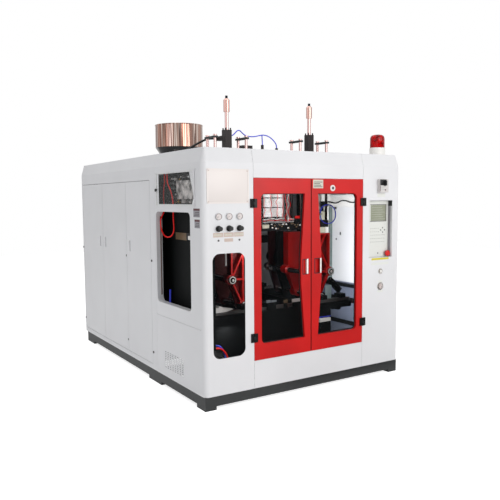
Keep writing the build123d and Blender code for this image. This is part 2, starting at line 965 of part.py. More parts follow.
def hopper():
    cone_height = hopper_shoulder - throat_level
    body = rod_z(extruder_x, hopper_y, hopper_shoulder, hopper_top, hopper_radius)
    cone = at(extruder_x, hopper_y, throat_level + cone_height / 2) * Cone(
        throat_radius, hopper_radius, cone_height
    )
    inner_body = rod_z(
        extruder_x, hopper_y, hopper_shoulder, hopper_top + 1, hopper_radius - hopper_wall
    )
    inner_cone = at(extruder_x, hopper_y, throat_level + cone_height / 2) * Cone(
        throat_radius - hopper_wall, hopper_radius - hopper_wall, cone_height
    )
    rim = at(extruder_x, hopper_y, hopper_top) * Torus(hopper_radius - 1, hopper_rim)
    flange = rod_z(extruder_x, hopper_y, throat_level - 8, throat_level, throat_radius + 18)
    bore = rod_z(
        extruder_x, hopper_y, throat_level - 9, throat_level + 1, throat_radius - hopper_wall
    )
    shell = body + rim - inner_body
    funnel = cone + flange - inner_cone - bore
    return [shell, funnel]


def extruder_barrel():
    barrel = rod_y(extruder_x, barrel_front, barrel_rear, barrel_level, barrel_radius)
    feed = block(
        extruder_x - 112, extruder_x + 112, hopper_y - 112, hopper_y + 112,
        barrel_level - 85, throat_level - 8,
    )
    throat = rod_z(
        extruder_x, hopper_y, barrel_level + 10, throat_level, throat_radius - hopper_wall
    )
    flange = rod_y(extruder_x, barrel_rear - 30, barrel_rear, barrel_level, barrel_radius + 45)
    collar = rod_y(extruder_x, barrel_front, barrel_front + 40, barrel_level, barrel_radius + 20)
    return barrel + feed + flange + collar - throat


def die_heads():
    spread = head_spacing / 2 + head_radius + 22
    manifold = block(
        extruder_x - spread, extruder_x + spread, head_y - 90, barrel_front,
        head_block_bottom, barrel_level + barrel_radius + 5,
    )
    for dx in (-head_spacing / 2, head_spacing / 2):
        x = extruder_x + dx
        manifold = manifold + rod_z(x, head_y, head_bottom, head_block_bottom, head_radius)
        nozzle = at(x, head_y, head_bottom - 15) * Cone(24, 36, 30)
        manifold = manifold + nozzle
    return manifold


def ring(outer, inner, length):
    return Cylinder(outer, length) - Cylinder(inner, length + 2)


def heater_bands():
    bands = []
    for index in range(band_count):
        y = band_first + index * band_pitch
        band = ring(barrel_radius + band_thickness, barrel_radius + 0.2, band_width)
        bands.append(at(extruder_x, y + band_width / 2, barrel_level) * Rot(90, 0, 0) * band)
    for dx in (-head_spacing / 2, head_spacing / 2):
        for index in range(head_band_count):
            z = head_bottom + 18 + index * head_band_pitch + head_band_height / 2
            band = ring(head_radius + head_band_thickness, head_radius + 0.2, head_band_height)
            bands.append(at(extruder_x + dx, head_y, z) * band)
    return bands


def power_units():
    rear = depth - base_rear_inset - 15
    gearbox = block(
        extruder_x - 200, extruder_x + 200, barrel_rear, rear, extruder_beam_level,
        barrel_level + 130,
    )
    gearbox = fillet(gearbox.edges().filter_by(Axis.Y), 40)
    motor = rod_y(extruder_x, barrel_rear - 440, barrel_rear, extruder_beam_level + 160, 130)
    motor = motor + rod_y(extruder_x, barrel_rear - 20, barrel_rear, extruder_beam_level + 160, 155)
    tank = block(
        tank_left, tank_left + tank_width, tank_front, tank_front + tank_length,
        clad_bottom, tank_top,
    )
    tank = fillet(tank.edges().filter_by(Axis.Z), 25)
    pump_x = tank_left + 350
    pump_front = tank_front + 80
    pump = rod_y(
        pump_x, pump_front, pump_front + pump_length, tank_top + pump_radius + 10, pump_radius,
    )
    pump = pump + block(
        pump_x - 80, pump_x + 80, pump_front + 60, pump_front + pump_length - 60,
        tank_top, tank_top + 20,
    )
    return [gearbox + motor, tank, pump]


# Doors at the front

def door_window(left_side):
    middle = (door_top + door_bottom) / 2
    span = door_middle - meeting_gap / 2 - door_left - door_gap
    outer = -span / 2 + stile_width
    inner = span / 2 - inner_stile_width
    waist = span / 2 - stile_grip_width
    top = door_top - window_top_margin - middle
    bottom = door_bottom + window_bottom_margin - middle
    outline = Polygon(
        (inner, top), (outer, top), (outer, bottom), (inner, bottom),
        (waist, window_waist_bottom - middle), (waist, window_waist_top - middle), align=None,
    )
    outline = fillet(outline.vertices().sort_by(Axis.X)[:2], window_radius)
    return outline if left_side else mirror(outline, Plane.YZ)


def door_span(left_side):
    if left_side:
        return door_left + door_gap, door_middle - meeting_gap / 2
    return door_middle + meeting_gap / 2, door_right - door_gap


def front_door(left_side):
    x0, x1 = door_span(left_side)
    middle_x = (x0 + x1) / 2
    middle_z = (door_bottom + door_top) / 2
    leaf = Rectangle(x1 - x0, door_top - door_bottom)
    window = door_window(left_side)
    frame = prism_y(leaf - window, middle_x, middle_z, 0, door_thickness)
    pocket = Rectangle(x1 - x0 - 2 * door_sheet, door_top - door_bottom - 2 * door_sheet)
    pocket = pocket - offset(window, door_sheet)
    frame = frame - prism_y(pocket, middle_x, middle_z, door_sheet, door_thickness + 1)
    grip_x = door_middle + (-1 if left_side else 1) * (cup_from_gap + cup_width / 2)
    cup = block(
        grip_x - cup_width / 2 - door_sheet, grip_x + cup_width / 2 + door_sheet,
        0, cup_depth + door_sheet,
        cup_level - cup_height / 2 - door_sheet, cup_level + cup_height / 2 + door_sheet,
    )
    hollow = block(
        grip_x - cup_width / 2, grip_x + cup_width / 2, -5, cup_depth,
        cup_level - cup_height / 2, cup_level + cup_height / 2,
    )
    leaves = [moving_leaf(left_side, z) for z in (hinge_upper_level, hinge_lower_level)]
    return [frame + cup - hollow] + leaves


def door_pane(left_side):
    x0, x1 = door_span(left_side)
    sheet_outline = offset(door_window(left_side), pane_overlap)
    return prism_y(
        sheet_outline, (x0 + x1) / 2, (door_bottom + door_top) / 2,
        door_thickness, door_thickness + pane_thickness,
    )


def hinge_x(left_side):
    return door_left + door_gap / 2 if left_side else door_right - door_gap / 2


def moving_leaf(left_side, level):
    side = 1 if left_side else -1
    x = hinge_x(left_side)
    third = hinge_height / 6
    plate = block(
        min(x + side * 2, x + side * hinge_leaf), max(x + side * 2, x + side * hinge_leaf),
        -hinge_leaf_thickness, 0, level - hinge_height / 2, level + hinge_height / 2,
    )
    for z0, z1 in ((-3 * third, -third), (third, 3 * third)):
        plate = plate - block(
            x - hinge_knuckle_radius - 1, x + hinge_knuckle_radius + 1,
            -hinge_axis_out - hinge_knuckle_radius - 1, 1, level + z0 - 1, level + z1 + 1,
        )
    knuckle = rod_z(
        x, -hinge_axis_out, level - third + hinge_clearance, level + third - hinge_clearance,
        hinge_knuckle_radius,
    )
    bridge = block(
        min(x, x + side * (hinge_knuckle_radius + 2)), max(x, x + side * (hinge_knuckle_radius + 2)),
        -hinge_leaf_thickness, -1, level - third + hinge_clearance, level + third - hinge_clearance,
    )
    hole = rod_z(
        x, -hinge_axis_out, level - hinge_height, level + hinge_height,
        hinge_pin_radius + pin_clearance,
    )
    return plate + bridge + knuckle - hole


def fixed_leaf(left_side, level):
    side = -1 if left_side else 1
    x = hinge_x(left_side)
    third = hinge_height / 6
    plate = block(
        min(x + side * 2, x + side * (hinge_leaf + 2)), max(x + side * 2, x + side * (hinge_leaf + 2)),
        -hinge_leaf_thickness, 0, level - hinge_height / 2, level + hinge_height / 2,
    )
    plate = plate - block(
        x - hinge_knuckle_radius - 1, x + hinge_knuckle_radius + 1,
        -hinge_axis_out - hinge_knuckle_radius - 1, 1, level - third - 1, level + third + 1,
    )
    for z0, z1 in ((-3 * third, -third), (third, 3 * third)):
        plate = plate + rod_z(x, -hinge_axis_out, level + z0, level + z1, hinge_knuckle_radius)
        plate = plate + block(
            min(x, x + side * (hinge_knuckle_radius + 2)),
            max(x, x + side * (hinge_knuckle_radius + 2)),
            -hinge_leaf_thickness, -1, level + z0, level + z1,
        )
    pin = rod_z(
        x, -hinge_axis_out, level - hinge_height / 2, level + hinge_height / 2, hinge_pin_radius
    )
    return plate + pin


# Cover over the upper service opening

def service_window():
    axis_x = -cover_thickness / 2 - 3
    pane = block(-cover_thickness - 0.5, -0.5, cover_front, cover_rear, cover_bottom, cover_top)
    barrel = rod_z(axis_x, cover_front, cover_bottom, cover_top, cover_barrel_radius)
    barrel = barrel - rod_z(
        axis_x, cover_front, cover_bottom - 1, cover_top + 1, cover_pin_radius + pin_clearance
    )
    knob = rod_x(-cover_thickness - 14.5, -cover_thickness - 0.5, cover_rear - 9,
                 (cover_bottom + cover_top) / 2 - 6, cover_knob_radius * 0.6)
    pane = pane - rod_z(axis_x, cover_front, cover_bottom - 1, cover_top + 1,
                        cover_pin_radius + pin_clearance)
    return pane + barrel + knob


def cover_hinges():
    axis_x = -cover_thickness / 2 - 3
    pieces = []
    for z0, z1, pin_z0, pin_z1 in (
        (cover_bottom - 14, cover_bottom - 0.5, cover_bottom - 14, cover_bottom + 30),
        (cover_top + 0.5, cover_top + 14, cover_top - 30, cover_top + 14),
    ):
        ear = block(axis_x - 5, 0, cover_front - 7, cover_front + 7, z0, z1)
        pieces.append(ear + rod_z(axis_x, cover_front, pin_z0, pin_z1, cover_pin_radius))
    return pieces


# Instruments and controls

def pressure_gauges():
    gauges = []
    for index in range(3):
        x = gauge_first + index * gauge_spacing
        case = rod_y(x, -gauge_depth, 0, gauge_level, gauge_radius)
        dish = rod_y(x, -gauge_depth - 1, -gauge_depth + 2, gauge_level, gauge_radius - 4)
        stub = rod_y(x, 0, 24, gauge_level, gauge_stub_radius)
        gauges.append(case - dish + stub)
    return gauges


def regulator_knob(index):
    x = gauge_first + index * gauge_spacing
    collar = rod_y(x, -12, -0.3, knob_level, knob_collar_radius)
    grip = rod_y(x, -knob_length, -12, knob_level, knob_grip_radius)
    for step in range(8):
        turn = math.radians(45 * step)
        groove_x = x + (knob_grip_radius + 1) * math.cos(turn)
        groove_z = knob_level + (knob_grip_radius + 1) * math.sin(turn)
        grip = grip - rod_y(groove_x, -knob_length - 1, -16, groove_z, 3)
    shaft = rod_y(x, -0.3, 20, knob_level, knob_shaft_radius)
    return collar + grip + shaft


def panel_front():
    return recess_depth - panel_plate


def hmi_panel():
    face = panel_front()
    plate = block(
        recess_left + 4, recess_right - 4, face, recess_depth, recess_bottom + 4, recess_top - 4,
    )
    bezel = block(screen_left - 8, screen_right + 8, face - 4, face,
                  screen_bottom - 8, screen_top + 8)
    screen = block(screen_left, screen_right, face - 5, face - 1.5, screen_bottom, screen_top)
    plate = plate + bezel - screen
    keys = []
    for row in range(key_rows):
        for column in range(key_columns):
            x = screen_left + column * key_pitch
            z = screen_bottom - 66 - row * (key_pitch + 8)
            if x > button_x + 20 and row < 2:
                continue
            keys.append(block(x, x + key_size, face - 1.2, face, z - key_size, z))
    arrow_x = screen_left + 162
    arrow_level = screen_bottom - 91
    for dx, dz in ((0, 22), (-26, 0), (26, 0), (0, -22)):
        keys.append(
            block(arrow_x + dx - 9, arrow_x + dx + 9, face - 1.2, face,
                  arrow_level + dz - 9, arrow_level + dz + 9)
        )
    plate = fuse([plate] + keys)
    return plate - rod_y(stop_x, face - 1, recess_depth + 1, stop_level, stop_stem_radius + fit_gap)


def stop_button():
    face = panel_front()
    stem = rod_y(stop_x, face - 22, recess_depth - 0.5, stop_level, stop_stem_radius)
    head = rod_y(stop_x, face - 36, face - 22, stop_level, stop_radius)
    return fillet(head.edges().group_by(Axis.Y)[0], 5) + stem


def start_button():
    cap = rod_y(button_x, -12, 14, start_level, start_radius * 0.5)
    return cap


def selector_knob():
    shaft = rod_y(button_x, -6, 14, selector_level, selector_radius * 0.4)
    lever = block(button_x - 5, button_x + 5, -24, -6, selector_level - 22, selector_level + 22)
    disc = rod_y(button_x, -10, -6, selector_level, selector_radius * 0.7)
    return shaft + lever + disc


def switch_box():
    box = block(
        switch_box_left, switch_box_left + switch_box_width, -switch_box_depth, 0,
        switch_box_bottom, switch_box_top,
    )
    box = fillet(box.edges().filter_by(Axis.Y), 6)
    x = switch_box_left + switch_box_width / 2
    z = switch_box_top - 38
    hole = rod_y(x, -switch_box_depth - 1, -switch_box_depth + 20, z, 6 + fit_gap)
    return box - hole


def button_rings():
    rings = []
    for level, outer, inner in (
        (start_level, start_radius, start_radius * 0.5 + fit_gap),
        (selector_level, selector_radius, selector_radius * 0.4 + fit_gap),
    ):
        band = ring(outer, inner, 5)
        rings.append(at(button_x, -2.5, level) * Rot(90, 0, 0) * band)
    return rings


def main_switch_knob():
    x = switch_box_left + switch_box_width / 2
    z = switch_box_top - 38
    front = -switch_box_depth
    shaft = rod_y(x, front - 0.3, front + 18, z, 6)
    disc = rod_y(x, front - 8, front - 0.3, z, switch_knob_radius)
    grip = block(x - 9, x + 9, front - switch_knob_length, front - 8,
                 z - switch_knob_radius + 3, z + switch_knob_radius - 3)
    return shaft + disc + grip


def beacon_base():
    base = rod_z(beacon_x, beacon_y, height, height + beacon_base_height, beacon_base_radius)
    base = fillet(base.edges().sort_by(Axis.Z)[-1], 6)
    top = height + beacon_base_height
    spindle = rod_z(beacon_x, beacon_y, top, top + 20, 8)
    return base + spindle


def beacon_dome():
    low = height + beacon_base_height
    outer = rod_z(beacon_x, beacon_y, low, low + dome_height, dome_radius)
    outer = fillet(outer.edges().sort_by(Axis.Z)[-1], 38)
    inner = rod_z(beacon_x, beacon_y, low - 1, low + dome_height - dome_wall,
                  dome_radius - dome_wall)
    inner = fillet(inner.edges().sort_by(Axis.Z)[-1], 35)
    return outer - inner


def beacon_reflector():
    low = height + beacon_base_height + 20.3
    disc = rod_z(beacon_x, beacon_y, low, low + 5, 30)
    dish = at(beacon_x, beacon_y, low + 42) * (Sphere(38) - Sphere(35))
    dish = dish & block(beacon_x - 40, beacon_x + 40, beacon_y, beacon_y + 40, low, low + 90)
    stem = block(beacon_x - 8, beacon_x + 8, beacon_y + 20, beacon_y + 32, low + 5, low + 24)
    return disc + dish + stem


# Service bay fittings

def bay_fittings():
    partition = post_inset + post_size + 20
    beam_low = height - sheet - top_beam_height
    box_bottom = upper_opening_bottom + 43
    box = block(partition - 60, partition, 380, 700, box_bottom, box_bottom + 164)
    box = fillet(box.edges().filter_by(Axis.X), 8)
    shelf = block(partition - 20, partition, 400, 680, box_bottom - 36, box_bottom)
    manifold = block(56, 96, 795, 895, loop_level, loop_level + 30)
    drop = block(64, 90, 835, 860, loop_level + 30, beam_low)
    plate_level = lower_opening_top - 253
    plate = block(partition - 6, partition, 500, 705, plate_level, plate_level + 60)
    union = block(blue_loop_x - 12, blue_loop_x + 12, 388, 412, union_level, union_level + 18)
    hanger = block(blue_loop_x - 12, blue_loop_x + 12, 412, 424, union_level, beam_low - 20.5)
    arm = block(blue_loop_x - 12, blue_loop_x + 12, 412, 520, beam_low - 20.5, beam_low)
    return [box + shelf, manifold + drop, plate, union + hanger + arm]


# Hoses and tubes: straight runs joined by tangent arcs

def tube(name, points, diameter, floor_radius):
    places = [Vector(x - width / 2, y - depth / 2, z) for x, y, z in points]
    radii = []
    for before, here, after in zip(places, places[1:], places[2:]):
        turn = math.radians((here - before).get_angle(after - here))
        shorter = min((here - before).length, (after - here).length)
        radii.append(0.45 * shorter / math.tan(turn / 2))
    print(name, "radii", [round(radius) for radius in radii], "at least", floor_radius)
    path = FilletPolyline(*places, radius=radii)
    start = Plane(origin=places[0], z_dir=places[1] - places[0])
    body = sweep(start * Circle(diameter / 2), path=path)
    section = math.pi * diameter ** 2 / 4
    print(name, "length", round(path.length), "volume share", round(body.volume / section / path.length, 4))
    return body


half_body = unit_body / 2
left_unit_x = width / 2 - unit_offset
right_unit_x = width / 2 + unit_offset

roof_hose_points = [(x, y, height + rise) for x, y, rise in (
    (175, 790, 20), (222, 790, 20), (268, 789, 36), (318, 788, 66), (372, 789, 96),
    (425, 791, 122), (475, 791, 143), (520, 790, 152), (left_unit_x - half_body - 0.5, 790, 152),
)]
air_tube_points = [
    (left_unit_x + half_body, 659, height + 172), (left_unit_x + half_body + 26, 659, height + 172),
] + [(width / 2 + across, y, height + rise) for across, y, rise in (
    (-394.5, 660, 196), (-367.5, 661, 224), (-337.5, 661, 226), (-312.5, 660, 202),
    (-279.5, 658, 180), (-225.5, 657, 172), (-172.5, 657, 176), (-122.5, 658, 188), (-75.5, 660, 197),
    (-27.5, 661, 191), (17.5, 660, 170), (52.5, 659, 141), (elbow_offset, 659, 108),
    (elbow_offset, 659, elbow_rise),
)]
air_branch_points = [(width / 2 + across, y, height + rise) for across, y, rise in (
    (-89.5, 660, 191), (-88.5, 660, 162), (-branch_offset, 659, 131),
    (-branch_offset, 659, branch_rise),
)]
red_loop_points = [(x, y, loop_level - drop) for x, y, drop in (
    (74, 815, 0), (74, 815, 65), (74, 790, 105), (74, 752, 139), (74, 722, 181), (74, 703, 229),
    (74, 694, 281), (74, 694, 333), (74, 698, 385), (74, 692, 435), (74, 684, 483),
    (73, 694, 526), (69, 725, 557), (62, 768, 573), (53, 813, 572), (44, 853, 551), (37, 876, 509),
    (33, 884, 459), (34, 886, 411), (56, 884, 373), (72, 884, 340), (77, 894, 302), (76, 899, 262),
    (74, 899, 214), (74, 896, 163), (74, 886, 117), (74, 870, 69), (74, 870, 0),
)]
blue_loop_points = [(blue_loop_x + across, 400, union_level + rise) for across, rise in (
    (0, 18), (0, 48), (22, 82), (63, 100), (109, 102), (153, 84), (184, 48), (195, 2),
    (185, -42), (155, -74), (111, -88), (65, -84), (24, -64), (0, -30), (0, 0),
)]
low_red_points = [
    (150, 115, 484), (196, 115, 484), (240, 116, 462), (272, 118, 420), (294, 121, 368),
    (308, 124, 312), (317, 125, 252), (315, 125, 192), (315, 125, 131),
]
low_blue_points = [
    (150, 135, 504), (186, 135, 504), (222, 135, 490), (250, 134, 456), (267, 134, 408),
    (277, 135, 356), (282, 136, 302), (283, 136, 246), (280, 135, 188), (280, 135, 131),
]


def low_fittings():
    pieces = []
    for x, y in ((315, 125), (280, 135)):
        pieces.append(rod_z(x, y, clad_bottom, 131, 11))
    return pieces


def low_fitting_bar():
    return block(262, 335, base_inset + beam_width, 158, clad_bottom - 20, clad_bottom)


pieces = {
    "base_frame": base_frame() + [low_fitting_bar()],
    "machine_frame": machine_frame(),
    "front_left_panel": [front_left_panel()],
    "front_left_pane": [front_left_pane()],
    "front_centre_panels": front_centre_panels(),
    "control_column": [control_column()],
    "service_panel": [service_panel()],
    "vent_panel": [vent_panel()],
    "side_wall_frame": [side_wall_frame()],
    "rear_and_side_panels": rear_and_side_panels(),
    "roof_panel": [roof_panel()],
    "clamp_beams": clamp_beams(),
    "clamp_rails": clamp_rails(),
    "blow_cylinders": (
        blow_cylinder(left_unit_x) + blow_cylinder(right_unit_x) + tube_fittings()
    ),
    "hopper": hopper(),
    "extruder_barrel": [extruder_barrel(), die_heads()],
    "heater_bands": heater_bands(),
    "power_units": power_units(),
    "bay_fittings": bay_fittings() + low_fittings(),
    "hinge_fixed_leaves": [
        fixed_leaf(side, level)
        for side in (True, False)
        for level in (hinge_upper_level, hinge_lower_level)
    ] + cover_hinges(),
    "pressure_gauges": pressure_gauges(),
    "hmi_panel": [hmi_panel()],
    "switch_box": [switch_box()] + button_rings(),
    "beacon_base": [beacon_base()],
    "beacon_dome": [beacon_dome()],
    "beacon_reflector": [beacon_reflector()],
    "stop_button": [stop_button()],
    "start_button": [start_button()],
    "selector_knob": [selector_knob()],
    "main_switch_knob": [main_switch_knob()],
    "service_window": [service_window()],
    "left_door": front_door(True),
    "left_door_pane": [door_pane(True)],
    "right_door": front_door(False),
    "right_door_pane": [door_pane(False)],
    "roof_hose": [tube("roof_hose", roof_hose_points, roof_hose_diameter, 120)],
    "air_tube": [tube("air_tube", air_tube_points, air_tube_diameter, 30)],
    "air_branch": [tube("air_branch", air_branch_points, air_tube_diameter, 50)],
    "red_loop": [tube("red_loop", red_loop_points, red_loop_diameter, 60)],
    "blue_loop": [tube("blue_loop", blue_loop_points, blue_loop_diameter, 33)],
    "low_red_hose": [tube("low_red_hose", low_red_points, low_hose_diameter, 75)],
    "low_blue_hose": [tube("low_blue_hose", low_blue_points, low_hose_diameter, 75)],
}

for index in range(3):
    pieces[f"regulator_knob_{index + 1}"] = [regulator_knob(index)]

for name, door in zip(("front", "middle", "rear"), side_doors()):
    pieces[f"side_door_{name}"] = [door]

for name, side in (("left", -1), ("right", 1)):
    station_x = width / 2 + side * station_offset
    unit_x = width / 2 + side * unit_offset
    pieces[f"{name}_carriage"] = [carriage(station_x)]
    pieces[f"{name}_front_platen"] = front_platen(station_x)
    pieces[f"{name}_tie_bars"] = tie_bars(station_x)
    pieces[f"{name}_rear_platen"] = rear_platen(station_x)
    pieces[f"{name}_blow_rods"] = blow_posts(unit_x)
    pieces[f"{name}_blow_head"] = blow_head(unit_x)

for node, solids in pieces.items():
    save(node, *solids)

print(len(pieces), "nodes")
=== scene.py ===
import math
import random

import bmesh
import bpy
from mathutils import Matrix, Vector


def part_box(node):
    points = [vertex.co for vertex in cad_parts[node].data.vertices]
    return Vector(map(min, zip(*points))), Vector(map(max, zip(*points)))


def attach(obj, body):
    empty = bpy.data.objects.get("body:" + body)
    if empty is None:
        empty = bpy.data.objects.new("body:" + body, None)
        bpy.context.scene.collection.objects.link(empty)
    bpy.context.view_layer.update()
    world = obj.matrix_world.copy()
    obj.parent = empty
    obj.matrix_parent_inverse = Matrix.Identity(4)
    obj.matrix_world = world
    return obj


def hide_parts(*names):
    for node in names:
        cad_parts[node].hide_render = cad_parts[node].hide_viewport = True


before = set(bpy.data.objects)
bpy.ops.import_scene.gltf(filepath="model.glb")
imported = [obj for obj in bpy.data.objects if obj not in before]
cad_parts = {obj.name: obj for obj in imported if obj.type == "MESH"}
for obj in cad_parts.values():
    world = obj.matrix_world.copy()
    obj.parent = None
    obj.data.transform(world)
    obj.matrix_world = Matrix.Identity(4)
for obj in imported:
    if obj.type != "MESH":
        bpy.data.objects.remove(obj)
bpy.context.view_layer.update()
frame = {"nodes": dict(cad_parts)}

bl_info = {
    "name": "Blow Moulding Machine",
    "version": (1, 0, 0),
    "blender": (4, 5, 0),
    "location": "View3D > Sidebar > Machine",
    "description": "Dresses the packed model of a two-station blow moulding machine",
    "category": "Object",
}

MM = 0.001
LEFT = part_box("front_left_panel")[0].x
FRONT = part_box("front_left_panel")[0].y
PLATEN_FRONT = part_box("left_front_platen")[0].y


def spot(x, y, z):
    """A place given in millimetres from the left side, the front face and the floor."""
    return Vector((LEFT + x * MM, FRONT + y * MM, z * MM))


def across(x):
    """Millimetres from the left side to a place in the frame."""
    return (x - LEFT) / MM


def inwards(y):
    """Millimetres from the front face to a place in the frame."""
    return (y - FRONT) / MM


def middle_of(node):
    """The middle of a node from side to side, in millimetres from the left side."""
    return across(sum(corner.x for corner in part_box(node)) / 2)


# Sizes and places in millimetres, like all that spot takes
WIDTH = across(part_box("control_column")[1].x)
SHEET = 3
WALL = WIDTH - SHEET
LEFT_UNIT = middle_of("left_blow_rods")
DOOR_MIDDLE = across((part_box("left_door")[1].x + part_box("right_door")[0].x) / 2)
DOOR_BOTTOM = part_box("left_door")[0].z / MM
DOOR_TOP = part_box("left_door")[1].z / MM
GAUGE_LIP = inwards(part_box("pressure_gauges")[0].y)
GAUGE_X = (142, 241, 340)
GAUGE_LEVEL = 1593
DIAL_FACE = -12
GAUGE_LABELS = ((93, 186), (191, 286), (290, 381))
KEYPAD_FACE = 54
SWITCH_BOX_FACE = -42
HEAD_X = (WIDTH / 2 - 70, WIDTH / 2 + 70)
HEAD_DEPTH = 650
CUTTER_FACE = 560
RAIL_FACE = 217
TIE_BAR_SPREAD = 125
TIE_BAR_LEVELS = (1000, 756)
PARTITION = 170

# Levels at which a node changes its finish, in millimetres above the floor
CONE_TOP = 2370.5
ADJUSTER_FOOT = 2536
ADJUSTER_TIP = 2658
# Below it the blow rods are darkened with painted shade
ROOF_UNDERSIDE = 2100
VALVE_BLOCK_FOOT = 1450
BUTTON_RINGS_TOP = 1200

# The camera was fitted to the edges in the photograph: yaw, pitch and roll are in radians
CAMERA_PLACE = (-2263.7, -4265.3, 1737.5)
CAMERA_TURN = (0.5654928, 0.0848178, 0.0074487)

TO_FRONT = (0, -1, 0)
TO_LEFT = (-1, 0, 0)
TO_RIGHT = (1, 0, 0)
UP = (0, 0, 1)


# Settings

def linear(code):
    """An sRGB hex colour as the linear red, green and blue that a shader takes."""
    parts = [int(code[i:i + 2], 16) / 255 for i in (1, 3, 5)]
    return tuple(part / 12.92 if part <= 0.04045 else ((part + 0.055) / 1.055) ** 2.4 for part in parts)


def colour_setting(name, description, code):
    """A colour that the user can change, from an sRGB hex value."""
    return bpy.props.FloatVectorProperty(
        name=name, description=description, subtype="COLOR", size=3, min=0, max=1, default=linear(code),
    )


def length_setting(name, description, millimetres):
    """A length that the user can change."""
    return bpy.props.FloatProperty(
        name=name, description=description, default=millimetres * MM, min=0, unit="LENGTH",
    )


def power_setting(name, what, watts):
    """The power of a lamp, which the user can change."""
    return bpy.props.FloatProperty(
        name=name, description=f"Power of the {what}", default=watts, min=0, unit="POWER",
    )


class MachineColours(bpy.types.PropertyGroup):
    """Colours of the painted, plated and moulded finishes."""

    cladding: colour_setting("Cladding", "Powder coat on the sheet metal", "#DFDFE1")
    door: colour_setting("Doors", "Enamel on the front door frames", "#C90D0C")
    platen: colour_setting("Platens", "Enamel on the clamp platens", "#A80D0A")
    frame: colour_setting("Frame", "Enamel on the base and inner frame", "#131617")
    machinery: colour_setting("Machinery", "Enamel on gearbox, tank and fittings", "#7C8389")
    lining: colour_setting("Wall lining", "Paint on the lower inside wall", "#6A7182")
    red_tube: colour_setting("Red hose", "Extruded red hose", "#FA1712")
    blue_tube: colour_setting("Blue tube", "Extruded blue tube", "#3F4BDC")


class MachineSizes(bpy.types.PropertyGroup):
    """Sizes of the small parts that dress the model."""

    seal_width: length_setting("Door seal", "Width of the rubber round a door window", 7)
    plate_border: length_setting("Sign border", "Width of the raised border of the sign plate", 12)
    bolt_radius: length_setting("Bolt head", "Radius of the bolt heads on the left side", 11)


class StageSettings(bpy.types.PropertyGroup):
    """Camera and lights."""

    lens: bpy.props.FloatProperty(
        name="Lens", description="Focal length on a 36 mm sensor", default=43.65, min=10, unit="CAMERA",
    )
    key_power: power_setting("Key light", "large front light", 176)
    side_power: power_setting("Side light", "weak light from the left", 50)
    top_power: power_setting("Top light", "overhead light", 120)
    inner_power: power_setting("Inner light", "lamp inside, towards the right wall", 10)
    low_power: power_setting("Low light", "lamp inside, towards the low hoses", 0.8)
    station_power: power_setting("Station light", "lamp inside, towards the platens", 3.2)
    head_power: power_setting("Head light", "lamp inside, towards the die heads", 1.7)
    surround: bpy.props.FloatProperty(
        name="Surround", description="Strength of the even light from all sides", default=0.42, min=0,
    )


# Mesh building

def add_box(bm, low, high, bevel=0.0):
    """A box between two places, in millimetres, with its edges broken."""
    start, end = spot(*low), spot(*high)
    made = bmesh.ops.create_cube(bm, size=1)
    size = end - start
    for vert in made["verts"]:
        vert.co = Vector((start.x + (vert.co.x + 0.5) * size.x,
                          start.y + (vert.co.y + 0.5) * size.y,
                          start.z + (vert.co.z + 0.5) * size.z))
    if bevel:
        edges = list({edge for vert in made["verts"] for edge in vert.link_edges})
        bmesh.ops.bevel(bm, geom=edges, offset=bevel * MM, segments=2, affect="EDGES", profile=0.6)


def skin_rings(bm, rings, foot=True):
    """Faces from ring to ring of a tube, and over its ends; the foot may stay open."""
    for lower, upper in zip(rings, rings[1:]):
        for step in range(len(lower)):
            follow = (step + 1) % len(lower)
            bm.faces.new((lower[step], lower[follow], upper[follow], upper[step]))
    if foot:
        bm.faces.new(list(reversed(rings[0])))
    bm.faces.new(rings[-1])


def add_turned(bm, centre, axis, profile, steps=32):
    """A turned piece: profile holds (distance along axis, radius) in millimetres."""
    turn = Vector((0, 0, 1)).rotation_difference(Vector(axis)).to_matrix()
    rings = []
    for along, radius in profile:
        ring = []
        for step in range(steps):
            angle = 2 * math.pi * step / steps
            local = Vector((radius * math.cos(angle), radius * math.sin(angle), along)) * MM
            ring.append(bm.verts.new(spot(*centre) + turn @ local))
        rings.append(ring)
    skin_rings(bm, rings)


def button_profile(radius, height, edge=1.0):
    """The profile of a flat round head with its rim rounded off."""
    return [(0, radius), (height - edge, radius), (height - edge * 0.3, radius - edge * 0.3),
            (height, radius - edge)]


def rounded_outline(corners, radii, steps=6):
    """A closed outline whose corners are rounded, as points in the plane."""
    points = []
    count = len(corners)
    for index, radius in enumerate(radii):
        before = Vector(corners[index - 1])
        here = Vector(corners[index])
        after = Vector(corners[(index + 1) % count])
        towards = (before - here).normalized()
        away = (after - here).normalized()
        if radius <= 0:
            points.append(here)
            continue
        half = towards.angle(away) / 2
        reach = radius / math.tan(half)
        start, end = here + towards * reach, here + away * reach
        centre = here + (towards + away).normalized() * (radius / math.sin(half))
        for step in range(steps + 1):
            spoke = (start - centre).lerp(end - centre, step / steps)
            points.append(centre + spoke.normalized() * radius)
    return points


def rounded_rectangle(x0, x1, z0, z1, radius=6):
    """The outline of a rectangle with rounded corners."""
    return rounded_outline([(x0, z0), (x1, z0), (x1, z1), (x0, z1)], [radius] * 4, 4)


def offset_outline(points, amount):
    """The outline moved inwards by amount; the points run anticlockwise."""
    moved = []
    count = len(points)
    for index, here in enumerate(points):
        into = (here - points[index - 1]).normalized()
        out = (points[(index + 1) % count] - here).normalized()
        normal = Vector((-into.y - out.y, into.x + out.x)).normalized()
        spread = max(0.3, normal.dot(Vector((-into.y, into.x))))
        moved.append(here + normal * (amount / spread))
    return moved


